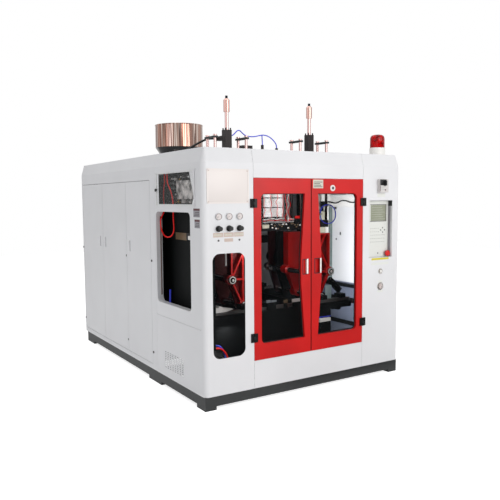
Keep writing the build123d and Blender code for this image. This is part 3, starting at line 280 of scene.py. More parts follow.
def add_band(bm, outer, inner, y0, y1):
    """A flat band between two outlines in the front plane, from depth y0 to y1."""
    rings = [[bm.verts.new(spot(x, y, z)) for x, z in line] for line in (outer, inner) for y in (y0, y1)]
    front_out, back_out, front_in, back_in = rings
    count = len(outer)
    for index in range(count):
        follow = (index + 1) % count
        bm.faces.new((front_out[index], front_out[follow], front_in[follow], front_in[index]))
        bm.faces.new((back_out[follow], back_out[index], back_in[index], back_in[follow]))
        bm.faces.new((front_out[follow], front_out[index], back_out[index], back_out[follow]))
        bm.faces.new((front_in[index], front_in[follow], back_in[follow], back_in[index]))


def add_prism(bm, outline, y0, y1):
    """An outline of (x, z) places in the front plane, pushed from depth y0 to y1."""
    front = [bm.verts.new(spot(x, y0, z)) for x, z in outline]
    back = [bm.verts.new(spot(x, y1, z)) for x, z in outline]
    bm.faces.new(front)
    bm.faces.new(list(reversed(back)))
    for index in range(len(outline)):
        follow = (index + 1) % len(outline)
        bm.faces.new((front[index], back[index], back[follow], front[follow]))


def smooth_route(points, steps=5):
    """Points along a soft curve through the given places."""
    line = [Vector(point) for point in points]
    padded = [2 * line[0] - line[1]] + line + [2 * line[-1] - line[-2]]
    route = []
    for before, start, end, after in zip(padded, padded[1:], padded[2:], padded[3:]):
        for step in range(steps):
            t = step / steps
            route.append(0.5 * (2 * start + (end - before) * t
                                + (2 * before - 5 * start + 4 * end - after) * t ** 2
                                + (3 * start - before - 3 * end + after) * t ** 3))
    return route + [line[-1]]


def add_wire(bm, points, radius, sides=8):
    """A fixed wire or lead through the given places, in millimetres."""
    route = smooth_route(points)
    rings = []
    side = Vector((0.36, 0.48, 0.8))
    for index, here in enumerate(route):
        ahead = route[min(index + 1, len(route) - 1)] - route[max(index - 1, 0)]
        side = (side - ahead * (side.dot(ahead) / ahead.length_squared)).normalized()
        cross = ahead.normalized().cross(side)
        ring = []
        for step in range(sides):
            angle = 2 * math.pi * step / sides
            spoke = (side * math.cos(angle) + cross * math.sin(angle)) * radius
            ring.append(bm.verts.new(spot(*(here + spoke))))
        rings.append(ring)
    skin_rings(bm, rings)


def plate(x0, x1, z0, z1, face=0.0, proud=0.6):
    """The corners of a thin plate on a face that looks to the front."""
    return (x0, face - proud, z0), (x1, face, z1)


def wall_box(y0, y1, z0, z1, proud, behind=0):
    """The corners of a box on the right wall, given how far its face and its back stand off it."""
    return (WALL - proud, y0, z0), (WALL - behind, y1, z1)


def put(name, data):
    """A new object in the scene."""
    thing = bpy.data.objects.new(name, data)
    bpy.context.collection.objects.link(thing)
    return thing


def piece(name, bm, finish, body="machine", smooth=True):
    """Turns the mesh into a named piece that rides on a body."""
    bmesh.ops.recalc_face_normals(bm, faces=bm.faces)
    mesh = bpy.data.meshes.new(name)
    bm.to_mesh(mesh)
    bm.free()
    thing = put(name, mesh)
    mesh.materials.append(FINISHES[finish])
    if smooth:
        mesh.shade_smooth()
        mesh.set_sharp_from_angle(angle=math.radians(35))
    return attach(thing, body)


def boxes(name, finish, parts, bevel=1.0, body="machine"):
    """One piece made of boxes, each given by its two corners."""
    bm = bmesh.new()
    for low, high in parts:
        add_box(bm, low, high, bevel)
    return piece(name, bm, finish, body=body)


def discs(name, finish, places, axis, profile, steps=32, body="machine"):
    """One piece made of turned parts with the same axis and profile."""
    bm = bmesh.new()
    for place in places:
        add_turned(bm, place, axis, profile, steps)
    return piece(name, bm, finish, body=body)


def wires(name, finish, routes, radius):
    """One piece made of wires, each given by the places on its route."""
    bm = bmesh.new()
    for route in routes:
        add_wire(bm, route, radius)
    return piece(name, bm, finish)


def rim(name, finish, outer, width, y0, y1, body="machine"):
    """One flat band of even width along the inside of an outline."""
    bm = bmesh.new()
    add_band(bm, outer, offset_outline(outer, width), y0, y1)
    return piece(name, bm, finish, body=body, smooth=False)


# Materials

def add(tree, kind, inputs=None, **settings):
    """Adds a node, sets its properties, and fills or links its inputs."""
    made = tree.nodes.new(kind)
    for name, value in settings.items():
        setattr(made, name, value)
    for name, value in (inputs or {}).items():
        socket = made.inputs[name]
        if isinstance(value, bpy.types.NodeSocket):
            tree.links.new(value, socket)
        elif socket.type == "RGBA":
            socket.default_value = (*value, 1)
        else:
            socket.default_value = value
    return made


def new_finish(name, colour, roughness, metallic=0.0, **sockets):
    """A Principled material and its node tree; sockets are further constants by name."""
    material = bpy.data.materials.new(name)
    material.use_nodes = True
    shader = material.node_tree.nodes["Principled BSDF"]
    shader.inputs["Base Color"].default_value = (*colour, 1)
    shader.inputs["Roughness"].default_value = roughness
    shader.inputs["Metallic"].default_value = metallic
    for socket, value in sockets.items():
        shader.inputs[socket.replace("_", " ")].default_value = value
    return material, material.node_tree, shader


def surface_noise(tree, grain, detail=3.0, stretch=(1, 1, 1)):
    """Noise whose grain is given in millimetres, in the machine's own frame."""
    place = add(tree, "ShaderNodeTexCoord")
    scaled = add(tree, "ShaderNodeMapping", {"Vector": place.outputs["Object"], "Scale": stretch})
    noise = add(tree, "ShaderNodeTexNoise",
                {"Vector": scaled.outputs["Vector"], "Scale": 1 / (grain * MM), "Detail": detail})
    return noise.outputs["Fac"]


def textured(tree, shader, grain, depth, strength, detail=1, stretch=(1, 1, 1)):
    """Gives the surface a relief of this grain and depth in millimetres, and returns its height."""
    height = surface_noise(tree, grain, detail, stretch)
    bump = add(tree, "ShaderNodeBump", {"Height": height, "Distance": depth * MM, "Strength": strength})
    tree.links.new(bump.outputs["Normal"], shader.inputs["Normal"])
    return height


def orange_peel(tree, shader):
    """The skin of sprayed paint. It is about 1 mm across, and drawn coarser so that it shows."""
    textured(tree, shader, grain=3, depth=0.12, strength=0.25)


def tone(tree, shader, colour, other, factor, low=0.35, high=0.65):
    """Colours the surface with two tones by a factor between low and high, and returns the colour."""
    spread = add(tree, "ShaderNodeMapRange", {"Value": factor, "From Min": low, "From Max": high})
    mix = add(tree, "ShaderNodeMix", {"Factor": spread.outputs["Result"], 6: colour, 7: other},
              data_type="RGBA")
    tree.links.new(mix.outputs[2], shader.inputs["Base Color"])
    return mix.outputs[2]


def recolour(tree, shader, base, colour, axis, level, beyond=True):
    """Gives what lies beyond a level on an axis of the frame, or short of it, a colour of its own.

    It returns the colour of the whole surface, and the mask, which is 1 where that colour is.
    """
    place = add(tree, "ShaderNodeTexCoord")
    axes = add(tree, "ShaderNodeSeparateXYZ", {"Vector": place.outputs["Object"]})
    kind = "GREATER_THAN" if beyond else "LESS_THAN"
    mask = add(tree, "ShaderNodeMath", {0: axes.outputs[axis], 1: level}, operation=kind)
    mix = add(tree, "ShaderNodeMix", {"Factor": mask.outputs[0], 6: base, 7: colour}, data_type="RGBA")
    tree.links.new(mix.outputs[2], shader.inputs["Base Color"])
    return mix.outputs[2], mask.outputs[0]


def shade(colour, amount):
    """The colour made darker or brighter."""
    return tuple(min(1.0, part * amount) for part in colour)


def painted(name, colour, roughness, coat=0.0, gloss=0.5):
    """Baked paint: even colour, faint drift in tone and an orange-peel skin. Labels have it too."""
    material, tree, shader = new_finish(name, colour, roughness, IOR=1.5, Coat_Weight=coat,
                                        Coat_Roughness=0.12, Specular_IOR_Level=gloss)
    drift = surface_noise(tree, grain=420, detail=2)
    tone(tree, shader, colour, shade(colour, 0.965), drift)
    orange_peel(tree, shader)
    return material


def plated(name, colour, roughness, lay=(1, 1, 0.05)):
    """Ground and plated metal: mirror bright with fine grinding marks along one direction.

    The real marks are well under a tenth of a millimetre wide, and are drawn coarser so that they show.
    """
    material, tree, shader = new_finish(name, colour, roughness, metallic=1.0)
    marks = textured(tree, shader, grain=1.2, depth=0.02, strength=0.2, detail=2, stretch=lay)
    spread = add(tree, "ShaderNodeMapRange",
                 {"Value": marks, "To Min": roughness * 0.7, "To Max": roughness * 1.5})
    tree.links.new(spread.outputs["Result"], shader.inputs["Roughness"])
    return material


def moulded(name, colour, roughness, grain=0.8):
    """Moulded plastic: matt, with the fine spark grain of its mould, drawn coarser so that it shows."""
    material, tree, shader = new_finish(name, colour, roughness, IOR=1.46)
    spark_grain = textured(tree, shader, grain, depth=0.05, strength=0.3)
    tone(tree, shader, colour, shade(colour, 1.15), spark_grain)
    return material


def polycarbonate(name, tint, cover):
    """Clear sheet: nearly invisible, it tints what is behind a little and adds a clean gloss."""
    material, tree, shader = new_finish(name, tint, 0.04, IOR=1.58, Alpha=cover)
    wipe_marks = surface_noise(tree, grain=160, stretch=(1, 1, 0.4))
    spread = add(tree, "ShaderNodeMapRange", {"Value": wipe_marks, "To Min": 0.03, "To Max": 0.09})
    tree.links.new(spread.outputs["Result"], shader.inputs["Roughness"])
    return material


def hopper_steel():
    """Mirror stainless rolled into a hopper: upright bands of painted reflection, black paint on the cone.
    """
    material, tree, shader = new_finish("mirror_stainless_hopper", linear("#D3CDC9"), 0.07, metallic=1.0)
    place = add(tree, "ShaderNodeTexCoord")
    low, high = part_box("hopper")
    middle = (low + high) / 2
    centred = add(tree, "ShaderNodeMapping",
                  {"Vector": place.outputs["Object"], "Location": (-middle.x, -middle.y, 0)})
    axes = add(tree, "ShaderNodeSeparateXYZ", {"Vector": centred.outputs["Vector"]})
    angle = add(tree, "ShaderNodeMath", {0: axes.outputs["Y"], 1: axes.outputs["X"]},
                operation="ARCTAN2")
    lean = add(tree, "ShaderNodeMath", {0: axes.outputs["Z"], 1: 0.025}, operation="MULTIPLY")
    around = add(tree, "ShaderNodeCombineXYZ", {"X": angle.outputs[0], "Y": lean.outputs[0]})
    # 6.5 bands to a radian are each about 45 mm of the shell; the same noise gives the sheet its waves
    bands = add(tree, "ShaderNodeTexNoise",
                {"Vector": around.outputs["Vector"], "Scale": 6.5, "Detail": 3, "Roughness": 0.6})
    # The tones of the bands are a painted reflection of a room, from near black to pale
    reflection_tones = ((0.36, "#2A1A18"), (0.41, "#8C5C4E"), (0.44, "#CDAA9A"), (0.465, "#1E1210"),
             (0.49, "#9C7466"), (0.515, "#3A2421"), (0.545, "#E6D2C6"), (0.575, "#5A3E38"),
             (0.63, "#A88474"))
    ramp = add(tree, "ShaderNodeValToRGB", {"Fac": bands.outputs["Fac"]})
    ramp.color_ramp.interpolation = "EASE"
    stops = ramp.color_ramp.elements
    stops[0].position = reflection_tones[0][0]
    stops[1].position = reflection_tones[-1][0]
    for position, _ in reflection_tones[1:-1]:
        stops.new(position)
    for stop, (_, code) in zip(stops, reflection_tones):
        stop.color = (*linear(code), 1)
    _, paint = recolour(tree, shader, ramp.outputs["Color"], linear("#0D0F10"), "Z", CONE_TOP * MM,
                        beyond=False)
    metal = add(tree, "ShaderNodeMath", {0: 1.0, 1: paint}, operation="SUBTRACT")
    tree.links.new(metal.outputs[0], shader.inputs["Metallic"])
    bump = add(tree, "ShaderNodeBump",
               {"Height": bands.outputs["Fac"], "Distance": 1.5 * MM, "Strength": 0.25})
    tree.links.new(bump.outputs["Normal"], shader.inputs["Normal"])
    return material


def two_tone(name, upper, lower, level, roughness, metallic=(0.0, 0.0), grain=2, depth=0.9,
             spread=(0, 1)):
    """A node with two finishes, parted at a level in millimetres; the upper one is mottled."""
    material, tree, shader = new_finish(name, upper, roughness[0])
    patches = surface_noise(tree, grain, detail=5)
    mottle = tone(tree, shader, upper, shade(upper, depth), patches, *spread)
    _, mask = recolour(tree, shader, mottle, lower, "Z", level * MM, beyond=False)
    for socket, pair in (("Roughness", roughness), ("Metallic", metallic)):
        blend = add(tree, "ShaderNodeMapRange", {"Value": mask, "To Min": pair[0], "To Max": pair[1]})
        tree.links.new(blend.outputs["Result"], shader.inputs[socket])
    return material


def door_finish(colour):
    """Gloss enamel on the door frame; the hinge leaves in front of it are black."""
    material, tree, shader = new_finish("door_enamel", colour, 0.38, IOR=1.5,
                                        Specular_IOR_Level=0.35)
    drift = surface_noise(tree, grain=300, detail=2)
    red = tone(tree, shader, colour, shade(colour, 0.86), drift)
    recolour(tree, shader, red, linear("#060707"), "Y", FRONT - 0.4 * MM, beyond=False)
    orange_peel(tree, shader)
    return material


def hinge_finish(cladding):
    """Matt black on the door hinges; the ears of the service cover are white like the side."""
    black = linear("#0A0B0C")
    material, tree, shader = new_finish("hinge_enamel", black, 0.6, IOR=1.5, Specular_IOR_Level=0.2)
    recolour(tree, shader, black, cladding, "X", LEFT + 5 * MM, beyond=False)
    orange_peel(tree, shader)
    return material


def platen_finish(colour):
    """Cast platen in gloss enamel: a painted highlight on its ribs, painted shade in the pockets, near
    black on the yoke.
    """
    material, tree, shader = new_finish("platen_enamel", colour, 0.34, IOR=1.5, Coat_Weight=0.3,
                                        Coat_Roughness=0.12)
    place = add(tree, "ShaderNodeTexCoord")
    axes = add(tree, "ShaderNodeSeparateXYZ", {"Vector": place.outputs["Object"]})
    # Painted light: brighter on the faces of the ribs, darker with depth behind them, with a random drift
    depth = add(tree, "ShaderNodeMapRange", {
        "Value": axes.outputs["Y"], "From Min": PLATEN_FRONT + 3 * MM, "From Max": PLATEN_FRONT + 50 * MM,
    })
    drift = surface_noise(tree, grain=90)
    painted_shade_and_drift = add(tree, "ShaderNodeMath", {0: depth.outputs["Result"], 1: drift}, operation="ADD")
    red = tone(tree, shader, shade(colour, 1.7), shade(colour, 0.45), painted_shade_and_drift.outputs[0], low=0.4, high=1.4)
    recolour(tree, shader, red, shade(colour, 0.06), "Y", PLATEN_FRONT + 400 * MM)
    textured(tree, shader, grain=6, depth=0.3, strength=0.3, detail=2)
    return material


def extruded(name, colour, roughness=0.45):
    """Extruded tube: satin skin with faint draw lines."""
    material, tree, shader = new_finish(name, colour, roughness, IOR=1.5, Specular_IOR_Level=0.25)
    draw_lines = textured(tree, shader, grain=2.5, depth=0.05, strength=0.2, detail=2,
                          stretch=(1, 1, 0.2))
    tone(tree, shader, colour, shade(colour, 0.82), draw_lines)
    return material


def lamp_lens():
    """Translucent red acrylic lens: deep colour, wet gloss, dimly see-through."""
    red = linear("#C40608")
    material, tree, shader = new_finish("red_acrylic_lens", red, 0.16, IOR=1.49, Alpha=0.95,
                                        Specular_IOR_Level=0.2)
    depths = surface_noise(tree, grain=45, detail=2)
    tone(tree, shader, red, linear("#6E0307"), depths, low=0.4, high=0.62)
    return material


def mica_band():
    """Heater band in white glass cloth: creased round the band, a little scorched by heat."""
    cloth = linear("#F0F0F0")
    material, tree, shader = new_finish("heater_band_wrap", cloth, 0.5, IOR=1.5)
    scorch = surface_noise(tree, grain=60)
    tone(tree, shader, cloth, linear("#B9AFA4"), scorch, low=0.5, high=0.85)
    textured(tree, shader, grain=5, depth=0.4, strength=0.4, detail=2, stretch=(1, 1, 6))
    return material


def rod_finish():
    """Hard chrome posts and rod, darkened inside below the roof by painted shade; a copper-coloured
    adjuster above, and a black tip.
    """
    chrome = linear("#B99C98")
    material, tree, shader = new_finish("chrome_and_copper", chrome, 0.22, metallic=1.0)
    colour = chrome
    # The dark colour below the roof's underside is painted shade
    for code, level, beyond in (("#B8938A", ADJUSTER_FOOT, True), ("#1B1C20", ADJUSTER_TIP, True),
                                ("#3C3433", ROOF_UNDERSIDE, False)):
        colour, _ = recolour(tree, shader, colour, linear(code), "Z", level * MM, beyond)
    textured(tree, shader, grain=1.2, depth=0.02, strength=0.2, detail=2, stretch=(1, 1, 0.05))
    return material


FINISHES = {}


def make_finishes(colours):
    """Makes every finish, from the colours that the user can change."""
    red = tuple(colours.platen)
    white = tuple(colours.cladding)
    FINISHES.update({
        # Powder coat and enamel on sheet and castings: even, satin to gloss
        "powder": painted("white_powder_coat", white, 0.42),
        "sign": painted("sign_plate_enamel", linear("#E5DDD9"), 0.35),
        "door": door_finish(tuple(colours.door)),
        "hinge": hinge_finish(white),
        "platen": platen_finish(red),
        "rear_platen": painted("rear_platen_enamel", red, 0.34, coat=0.3),
        # The left rear platen's red, darkened: painted shade
        "shaded_platen": painted("shaded_platen_enamel", linear("#4A0B09"), 0.5, gloss=0.3),
        "black": painted("black_enamel", tuple(colours.frame), 0.6),
        "inner_black": painted("black_matt_paint", linear("#080A0B"), 0.7, gloss=0.15),
        "teal": painted("teal_guard_paint", linear("#8FA3A6"), 0.45),
        # The brightest white: pale leads, scale and pull edges; painted highlights on nuts and studs;
        # painted light on the shaded end guard and drop duct
        "pull": painted("satin_white_and_painted_highlight", linear("#FBF8F4"), 0.35),
        "post": painted("grey_green_post", linear("#6F7B78"), 0.5),
        "beige": painted("beige_cover", linear("#B5B09C"), 0.5),
        "grey": painted("grey_enamel", tuple(colours.machinery), 0.42),
        "lining": painted("lower_wall_grey_blue", tuple(colours.lining), 0.45),
        "bezel": painted("brown_bezel", linear("#6A504C"), 0.4),
        "bronze": painted("kraft_plate", linear("#6E5A42"), 0.5),
        # Anodised and cast bodies: a dull satin sheen
        "unit": painted("brown_anodised_body", linear("#1F1716"), 0.5, gloss=0.3),
        # The valve block's mottle is partly painted shade: its near-black patches stand for dark gaps
        # between fittings; below 1450 mm it is near black
        "bay": two_tone("valve_block_and_gap_shade", linear("#E0DAD6"), linear("#0E0F10"), VALVE_BLOCK_FOOT,
                        roughness=(0.4, 0.6), grain=70, depth=0.06, spread=(0.38, 0.62)),
        # Printed labels, tape and dials: flat colour with little gloss
        "yellow": painted("yellow_tape", linear("#D2C435"), 0.5),
        "tan": painted("tan_label", linear("#C9B6AC"), 0.55),
        "pale": painted("pale_label", linear("#CFCEC0"), 0.55),
        "warn": painted("warning_label_grey", linear("#8F8C92"), 0.5),
        "maroon": painted("warning_label_red", linear("#4A0A16"), 0.5),
        "print": painted("dark_print", linear("#4A4648"), 0.6),
        "dial": painted("dial_face", linear("#D8D0CE"), 0.5),
        # The studio flags: black cloth that gives hardly any light back
        "flag": painted("black_flag_cloth", linear("#050505"), 0.95),
        # Bright metal: sharp reflections, broken by grinding marks
        "chrome": plated("hard_chrome", linear("#D8D0CE"), 0.14),
        "steel": plated("ground_steel", linear("#6E6C6A"), 0.42, lay=(0.05, 1, 1)),
        "zinc": plated("zinc_plate", linear("#C9CACB"), 0.28),
        "brass": plated("turned_brass", linear("#B08D4A"), 0.25),
        "rods": rod_finish(),
        "hopper": hopper_steel(),
        # Clear sheet and lens
        "clear": polycarbonate("clear_polycarbonate", linear("#14181A"), 0.13),
        "cover": polycarbonate("clear_acrylic_cover", linear("#E4E6E4"), 0.04),
        "lens": lamp_lens(),
        # Moulded plastic and rubber: matt, with a fine grain
        "abs": moulded("black_abs", linear("#111213"), 0.42),
        "rubber": moulded("black_rubber", linear("#0C0D0E"), 0.7, grain=1.5),
        "white_abs": moulded("white_abs", linear("#DEDCD8"), 0.4),
        "film": moulded("membrane_film", linear("#D6D7D2"), 0.38),
        "key": moulded("printed_key", linear("#B4B6B2"), 0.45),
        "screen": moulded("display_glass", linear("#8F927F"), 0.18, grain=3),
        "stop": moulded("red_mushroom_button", linear("#C80A0A"), 0.3),
        "switch": two_tone("switch_box_plastic", linear("#D2CECC"), linear("#B9B4AE"),
                           BUTTON_RINGS_TOP, roughness=(0.4, 0.2), metallic=(0.0, 1.0)),
        # Hoses and the cloth of the heater bands
        "red_tube": extruded("red_nylon_hose", tuple(colours.red_tube)),
        "blue_tube": extruded("blue_nylon_tube", tuple(colours.blue_tube)),
        "hose": extruded("black_rubber_hose", linear("#0E0F10"), 0.55),
        "mica": mica_band(),
    })


def dress(finish, *nodes):
    """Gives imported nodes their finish."""
    for node in nodes:
        mesh = frame["nodes"][node].data
        mesh.materials.clear()
        mesh.materials.append(FINISHES[finish])


class MACHINE_OT_finishes(bpy.types.Operator):
    """Makes the paint, plating, plastic and glass finishes"""

    bl_idname = "machine.finishes"
    bl_label = "Finishes"

    def execute(self, context):
        make_finishes(context.scene.machine_colours)
        return {"FINISHED"}


class MACHINE_OT_camera(bpy.types.Operator):
    """Places the camera in front of the left front corner"""

    bl_idname = "machine.camera"
    bl_label = "Camera"

    def execute(self, context):
        data = bpy.data.cameras.new("camera")
        data.sensor_width = 36
        data.lens = context.scene.machine_stage.lens
        data.clip_end = 60
        camera = put("camera", data)
        yaw, pitch, roll = CAMERA_TURN
        forward = Vector((math.sin(yaw) * math.cos(pitch), math.cos(yaw) * math.cos(pitch),
                          -math.sin(pitch)))
        camera.location = spot(*CAMERA_PLACE)
        camera.rotation_mode = "QUATERNION"
        level = forward.to_track_quat("-Z", "Y")
        camera.rotation_quaternion = Matrix.Rotation(roll, 3, forward).to_quaternion() @ level
        context.scene.camera = camera
        return {"FINISHED"}


# Cords: diameter and length in metres, finish, stiffness, and the route in millimetres

CORDS = {
    "roof_hose": (0.020, 0.435, "hose", "medium", [
        (175, 790, 2170), (222, 790, 2170), (268, 789, 2186), (318, 788, 2216), (372, 789, 2246),
        (425, 791, 2272), (475, 791, 2293), (520, 790, 2302), (581, 790, 2302),
    ]),
    "air_tube": (0.010, 0.626, "blue_tube", "limp", [
        (LEFT_UNIT + 34, 659, 2322), (LEFT_UNIT + 60, 659, 2322), (703, 660, 2346), (730, 661, 2374),
        (760, 661, 2376), (785, 660, 2352), (818, 658, 2330), (872, 657, 2322), (925, 657, 2326),
        (975, 658, 2338), (1022, 660, 2347), (1070, 661, 2341), (1115, 660, 2320), (1150, 659, 2291),
        (1178, 659, 2258), (1178, 659, 2225),
    ]),
    "air_branch": (0.010, 0.091, "blue_tube", "medium", [
        (1008, 660, 2341), (1009, 660, 2312), (1011, 659, 2281), (1011, 659, 2250),
    ]),
    "red_loop": (0.012, 1.322, "red_tube", "medium", [
        (74, 815, 1965), (74, 815, 1900), (74, 790, 1860), (74, 752, 1826), (74, 722, 1784),
        (74, 703, 1736), (74, 694, 1684), (74, 694, 1632), (74, 698, 1580), (74, 692, 1530),
        (74, 684, 1482), (73, 694, 1439), (69, 725, 1408), (62, 768, 1392), (53, 813, 1393),
        (44, 853, 1414), (37, 876, 1456), (33, 884, 1506), (34, 886, 1554), (56, 884, 1592),
        (72, 884, 1625), (77, 894, 1663), (76, 899, 1703), (74, 899, 1751), (74, 896, 1802),
        (74, 886, 1848), (74, 870, 1896), (74, 870, 1965),
    ]),
    "blue_loop": (0.011, 0.593, "blue_tube", "limp", [(x, 400, z) for x, z in (
        (1521, 1588), (1521, 1618), (1543, 1652), (1584, 1670), (1630, 1672),
        (1674, 1654), (1705, 1618), (1716, 1572), (1706, 1528), (1676, 1496), (1632, 1482),
        (1586, 1486), (1545, 1506), (1521, 1540), (1521, 1570),
    )]),
    "low_red_hose": (0.015, 0.442, "red_tube", "medium", [
        (150, 115, 484), (196, 115, 484), (240, 116, 462), (272, 118, 420), (294, 121, 368),
        (308, 124, 312), (317, 125, 252), (315, 125, 192), (315, 125, 131),
    ]),
    "low_blue_hose": (0.015, 0.446, "blue_tube", "medium", [
        (150, 135, 504), (186, 135, 504), (222, 135, 490), (250, 134, 456), (267, 134, 408),
        (277, 135, 356), (282, 136, 302), (283, 136, 246), (280, 135, 188), (280, 135, 131),
    ]),
}


def make_cord(node, diameter, length, finish, stiffness, route):
    """A round tube along its route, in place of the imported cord."""
    curve = bpy.data.curves.new(f"{node}_tube", "CURVE")
    curve.dimensions = "3D"
    curve.resolution_u = 10
    curve.bevel_depth = diameter / 2
    curve.bevel_resolution = 5
    curve.use_fill_caps = True
    spline = curve.splines.new("NURBS")
    spline.points.add(len(route) - 1)
    for point, place in zip(spline.points, route):
        point.co = (*spot(*place), 1)
    spline.order_u = 3
    spline.use_endpoint_u = True
    tube = put(f"{node}_tube", curve)
    curve.materials.append(FINISHES[finish])
    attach(tube, "machine")
    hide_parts(node)


class MACHINE_OT_cords(bpy.types.Operator):
    """Lays the hoses and air tubes"""

    bl_idname = "machine.cords"
    bl_label = "Hoses and tubes"

    def execute(self, context):
        for node, facts in CORDS.items():
            make_cord(node, *facts)
        return {"FINISHED"}


# Cladding and what is fixed on it

def sign_plate(border):
    """A bare plate with a raised border and four screws."""
    left, right, bottom, top = 39, 434, 1698, 1978
    outline = rounded_rectangle(left, right, bottom, top)
    rim("sign_border", "sign", outline, border, y0=-4.5, y1=0)
    inside = border - 1
    face = plate(left + inside, right - inside, bottom + inside, top - inside, proud=2.5)
    boxes("sign_face", "sign", [face], bevel=0.5)
    inset = border / 2 + 8
    screws = [(x, -2.4, z) for x in (left + inset, right - inset) for z in (bottom + inset, top - inset)]
    discs("sign_screws", "tan", screws, TO_FRONT, button_profile(7, 2), steps=16)


def gauge_labels():
    """Label strips below the gauges with bars for their print, and two panel screws."""
    strips = [plate(x0, x1, 1426, 1462) for x0, x1 in GAUGE_LABELS]
    boxes("regulator_labels", "tan", strips + [plate(197, 279, 1387, 1414)], bevel=0)
    screws = [(x, 0, 1399) for x in (GAUGE_X[0], GAUGE_X[-1])]
    discs("panel_screws", "print", screws, TO_FRONT, button_profile(8, 4), steps=20)
    marks = []
    chance = random.Random(3)
    for x0, x1 in GAUGE_LABELS:
        x = x0 + 10
        while x < x1 - 14:
            long = chance.uniform(5, 12)
            marks.append(plate(x, x + long, 1436, 1452, face=-0.5, proud=0.4))
            x += long + 4
    boxes("regulator_label_print", "pale", marks, bevel=0)


def warning_labels():
    """Two labels on the left side, each with a bar and three lines for its print."""
    plates, bars, lines = [], [], []
    for y0, y1, z0, z1 in ((47, 158, 1589, 1660), (48, 140, 1501, 1571)):
        plates.append(((-0.6, y0, z0), (0, y1, z1)))
        bars.append(((-0.9, y0 + 1, z1 - 18), (-0.5, y1 - 1, z1 - 1)))
        for step in range(3):
            z = z0 + 10 + step * 13
            lines.append(((-0.9, y0 + 12, z), (-0.5, y1 - 12 - 9 * step, z + 5)))
    boxes("warning_labels", "warn", plates, bevel=0)
    boxes("warning_label_bars", "maroon", bars, bevel=0)
    boxes("warning_label_lines", "print", lines, bevel=0)


def wall_fittings():
    """The inside of the right wall: a darker grey-blue plate on its lower part, cable trunk, post and a
    small cabinet.
    """
    lining_top, lining_proud = 812, 3
    trunk_foot, trunk_depth = 1640, 42
    # Up to 812 mm the wall is grey-blue, darker than the white above
    boxes("wall_lining", "lining",
          [wall_box(60, 1380, 120, lining_top, proud=lining_proud)], bevel=0.5)
    strips = [wall_box(70, 1370, low, high, proud=14, behind=lining_proud)
              for low, high in ((342, 386), (591, 645), (757, 797))]
    boxes("wall_lining_strips", "inner_black", strips, bevel=2)
    boxes("cable_trunk", "white_abs",
          [wall_box(90, 1380, trunk_foot, 1769, proud=trunk_depth)], bevel=2)
    cable = [(WALL - trunk_depth - 3, y, z) for y, z in (
        (1300, 1694), (1100, 1700), (1006, 1691), (900, 1680), (805, 1707), (730, 1704), (659, 1688),
        (500, 1694),
    )]
    wires("trunk_cable", "inner_black", [cable], radius=7)
    # A tall dark slot and a black disc stand for holes in the wall, painted shade; the box higher up is a
    # black clamp
    boxes("wall_slot_shade_and_clamp", "print",
          [wall_box(870, 881, 1325, 1359, proud=9), wall_box(944, 966, 1612, 1637, proud=18)], bevel=2)
    discs("wall_hole_shade", "inner_black", [(WALL - 6, 943, 1277)], TO_RIGHT,
          button_profile(9, 6, edge=2), steps=20)
    boxes("wall_post", "post",
          [wall_box(1015, 1060, lining_top, trunk_foot, proud=trunk_depth)], bevel=3)
    cabinet, cabinet_back = 2001, 1050
    trunk_face = WALL - trunk_depth
    boxes("cabinet_back", "inner_black",
          [((cabinet, cabinet_back, 1300), (trunk_face, cabinet_back + 10, 1792))], bevel=1)
    boxes("cabinet_covers", "beige",
          [((cabinet, 1000, 1350), (cabinet + 78, cabinet_back, 1590))], bevel=4)
    boxes("cabinet_duct", "white_abs",
          [((2086, 996, 1350), (2122, cabinet_back, 1640)),
           ((2028, 1000, 1700), (trunk_face, cabinet_back, 1790))], bevel=3)


def hinge_bolts(radius):
    """Bolt heads on the left side. The middle door's are flat, to pass the next door as it opens."""
    for name, body, height, places in (
        ("pillar_bolts", "machine", 6, [(0, y, z) for y in (1029, 3118) for z in (1160, 283)]),
        ("middle_door_bolts", "side_door_middle", 2.3, [(0, 1684, 1161), (0, 1684, 281)]),
    ):
        profile = button_profile(radius, height, edge=height / 3)
        discs(name, "print", places, TO_LEFT, profile, steps=20, body=body)


class MACHINE_OT_cladding(bpy.types.Operator):
    """Finishes the sheet metal, its sign plate, labels and bolts"""

    bl_idname = "machine.cladding"
    bl_label = "Cladding"

    def execute(self, context):
        dress("powder", "front_left_panel", "front_centre_panels", "control_column", "service_panel",
              "vent_panel", "side_wall_frame", "rear_and_side_panels", "roof_panel",
              "side_door_front", "side_door_middle", "side_door_rear")
        sizes = context.scene.machine_sizes
        sign_plate(sizes.plate_border / MM)
        gauge_labels()
        warning_labels()
        wall_fittings()
        hinge_bolts(sizes.bolt_radius / MM)
        return {"FINISHED"}


# Doors and windows

def door_window(left_side):
    """The window's outline in the left door, or mirrored in the right one."""
    outer, inner, waist = 557, 1020.5, 979.5
    waist_low, waist_high = 985, 1207
    low, high = DOOR_BOTTOM + 137, DOOR_TOP - 131
    corners = [(outer, low), (inner, low), (waist, waist_low), (waist, waist_high), (inner, high),
               (outer, high)]
    line = rounded_outline(corners, [42, 0, 0, 0, 0, 42])
    if left_side:
        return line
    return [Vector((2 * DOOR_MIDDLE - point.x, point.y)) for point in reversed(line)]


def door_seals(width):
    """The rubber round the window of each door."""
    for side in ("left", "right"):
        window = door_window(side == "left")
        rim(f"{side}_door_seal", "rubber", window, width, y0=20, y1=27.8,
            body=f"{side}_door")


def door_lock():
    """The white lock on the right door and its plug."""
    x, level, proud = 1335, 1826, 7
    discs("door_lock", "white_abs", [(x, 0, level)], TO_FRONT,
          button_profile(28, proud, edge=2), body="right_door")
    discs("door_lock_plug", "print", [(x, -proud, level)], TO_FRONT,
          button_profile(13, 3, edge=1), body="right_door")


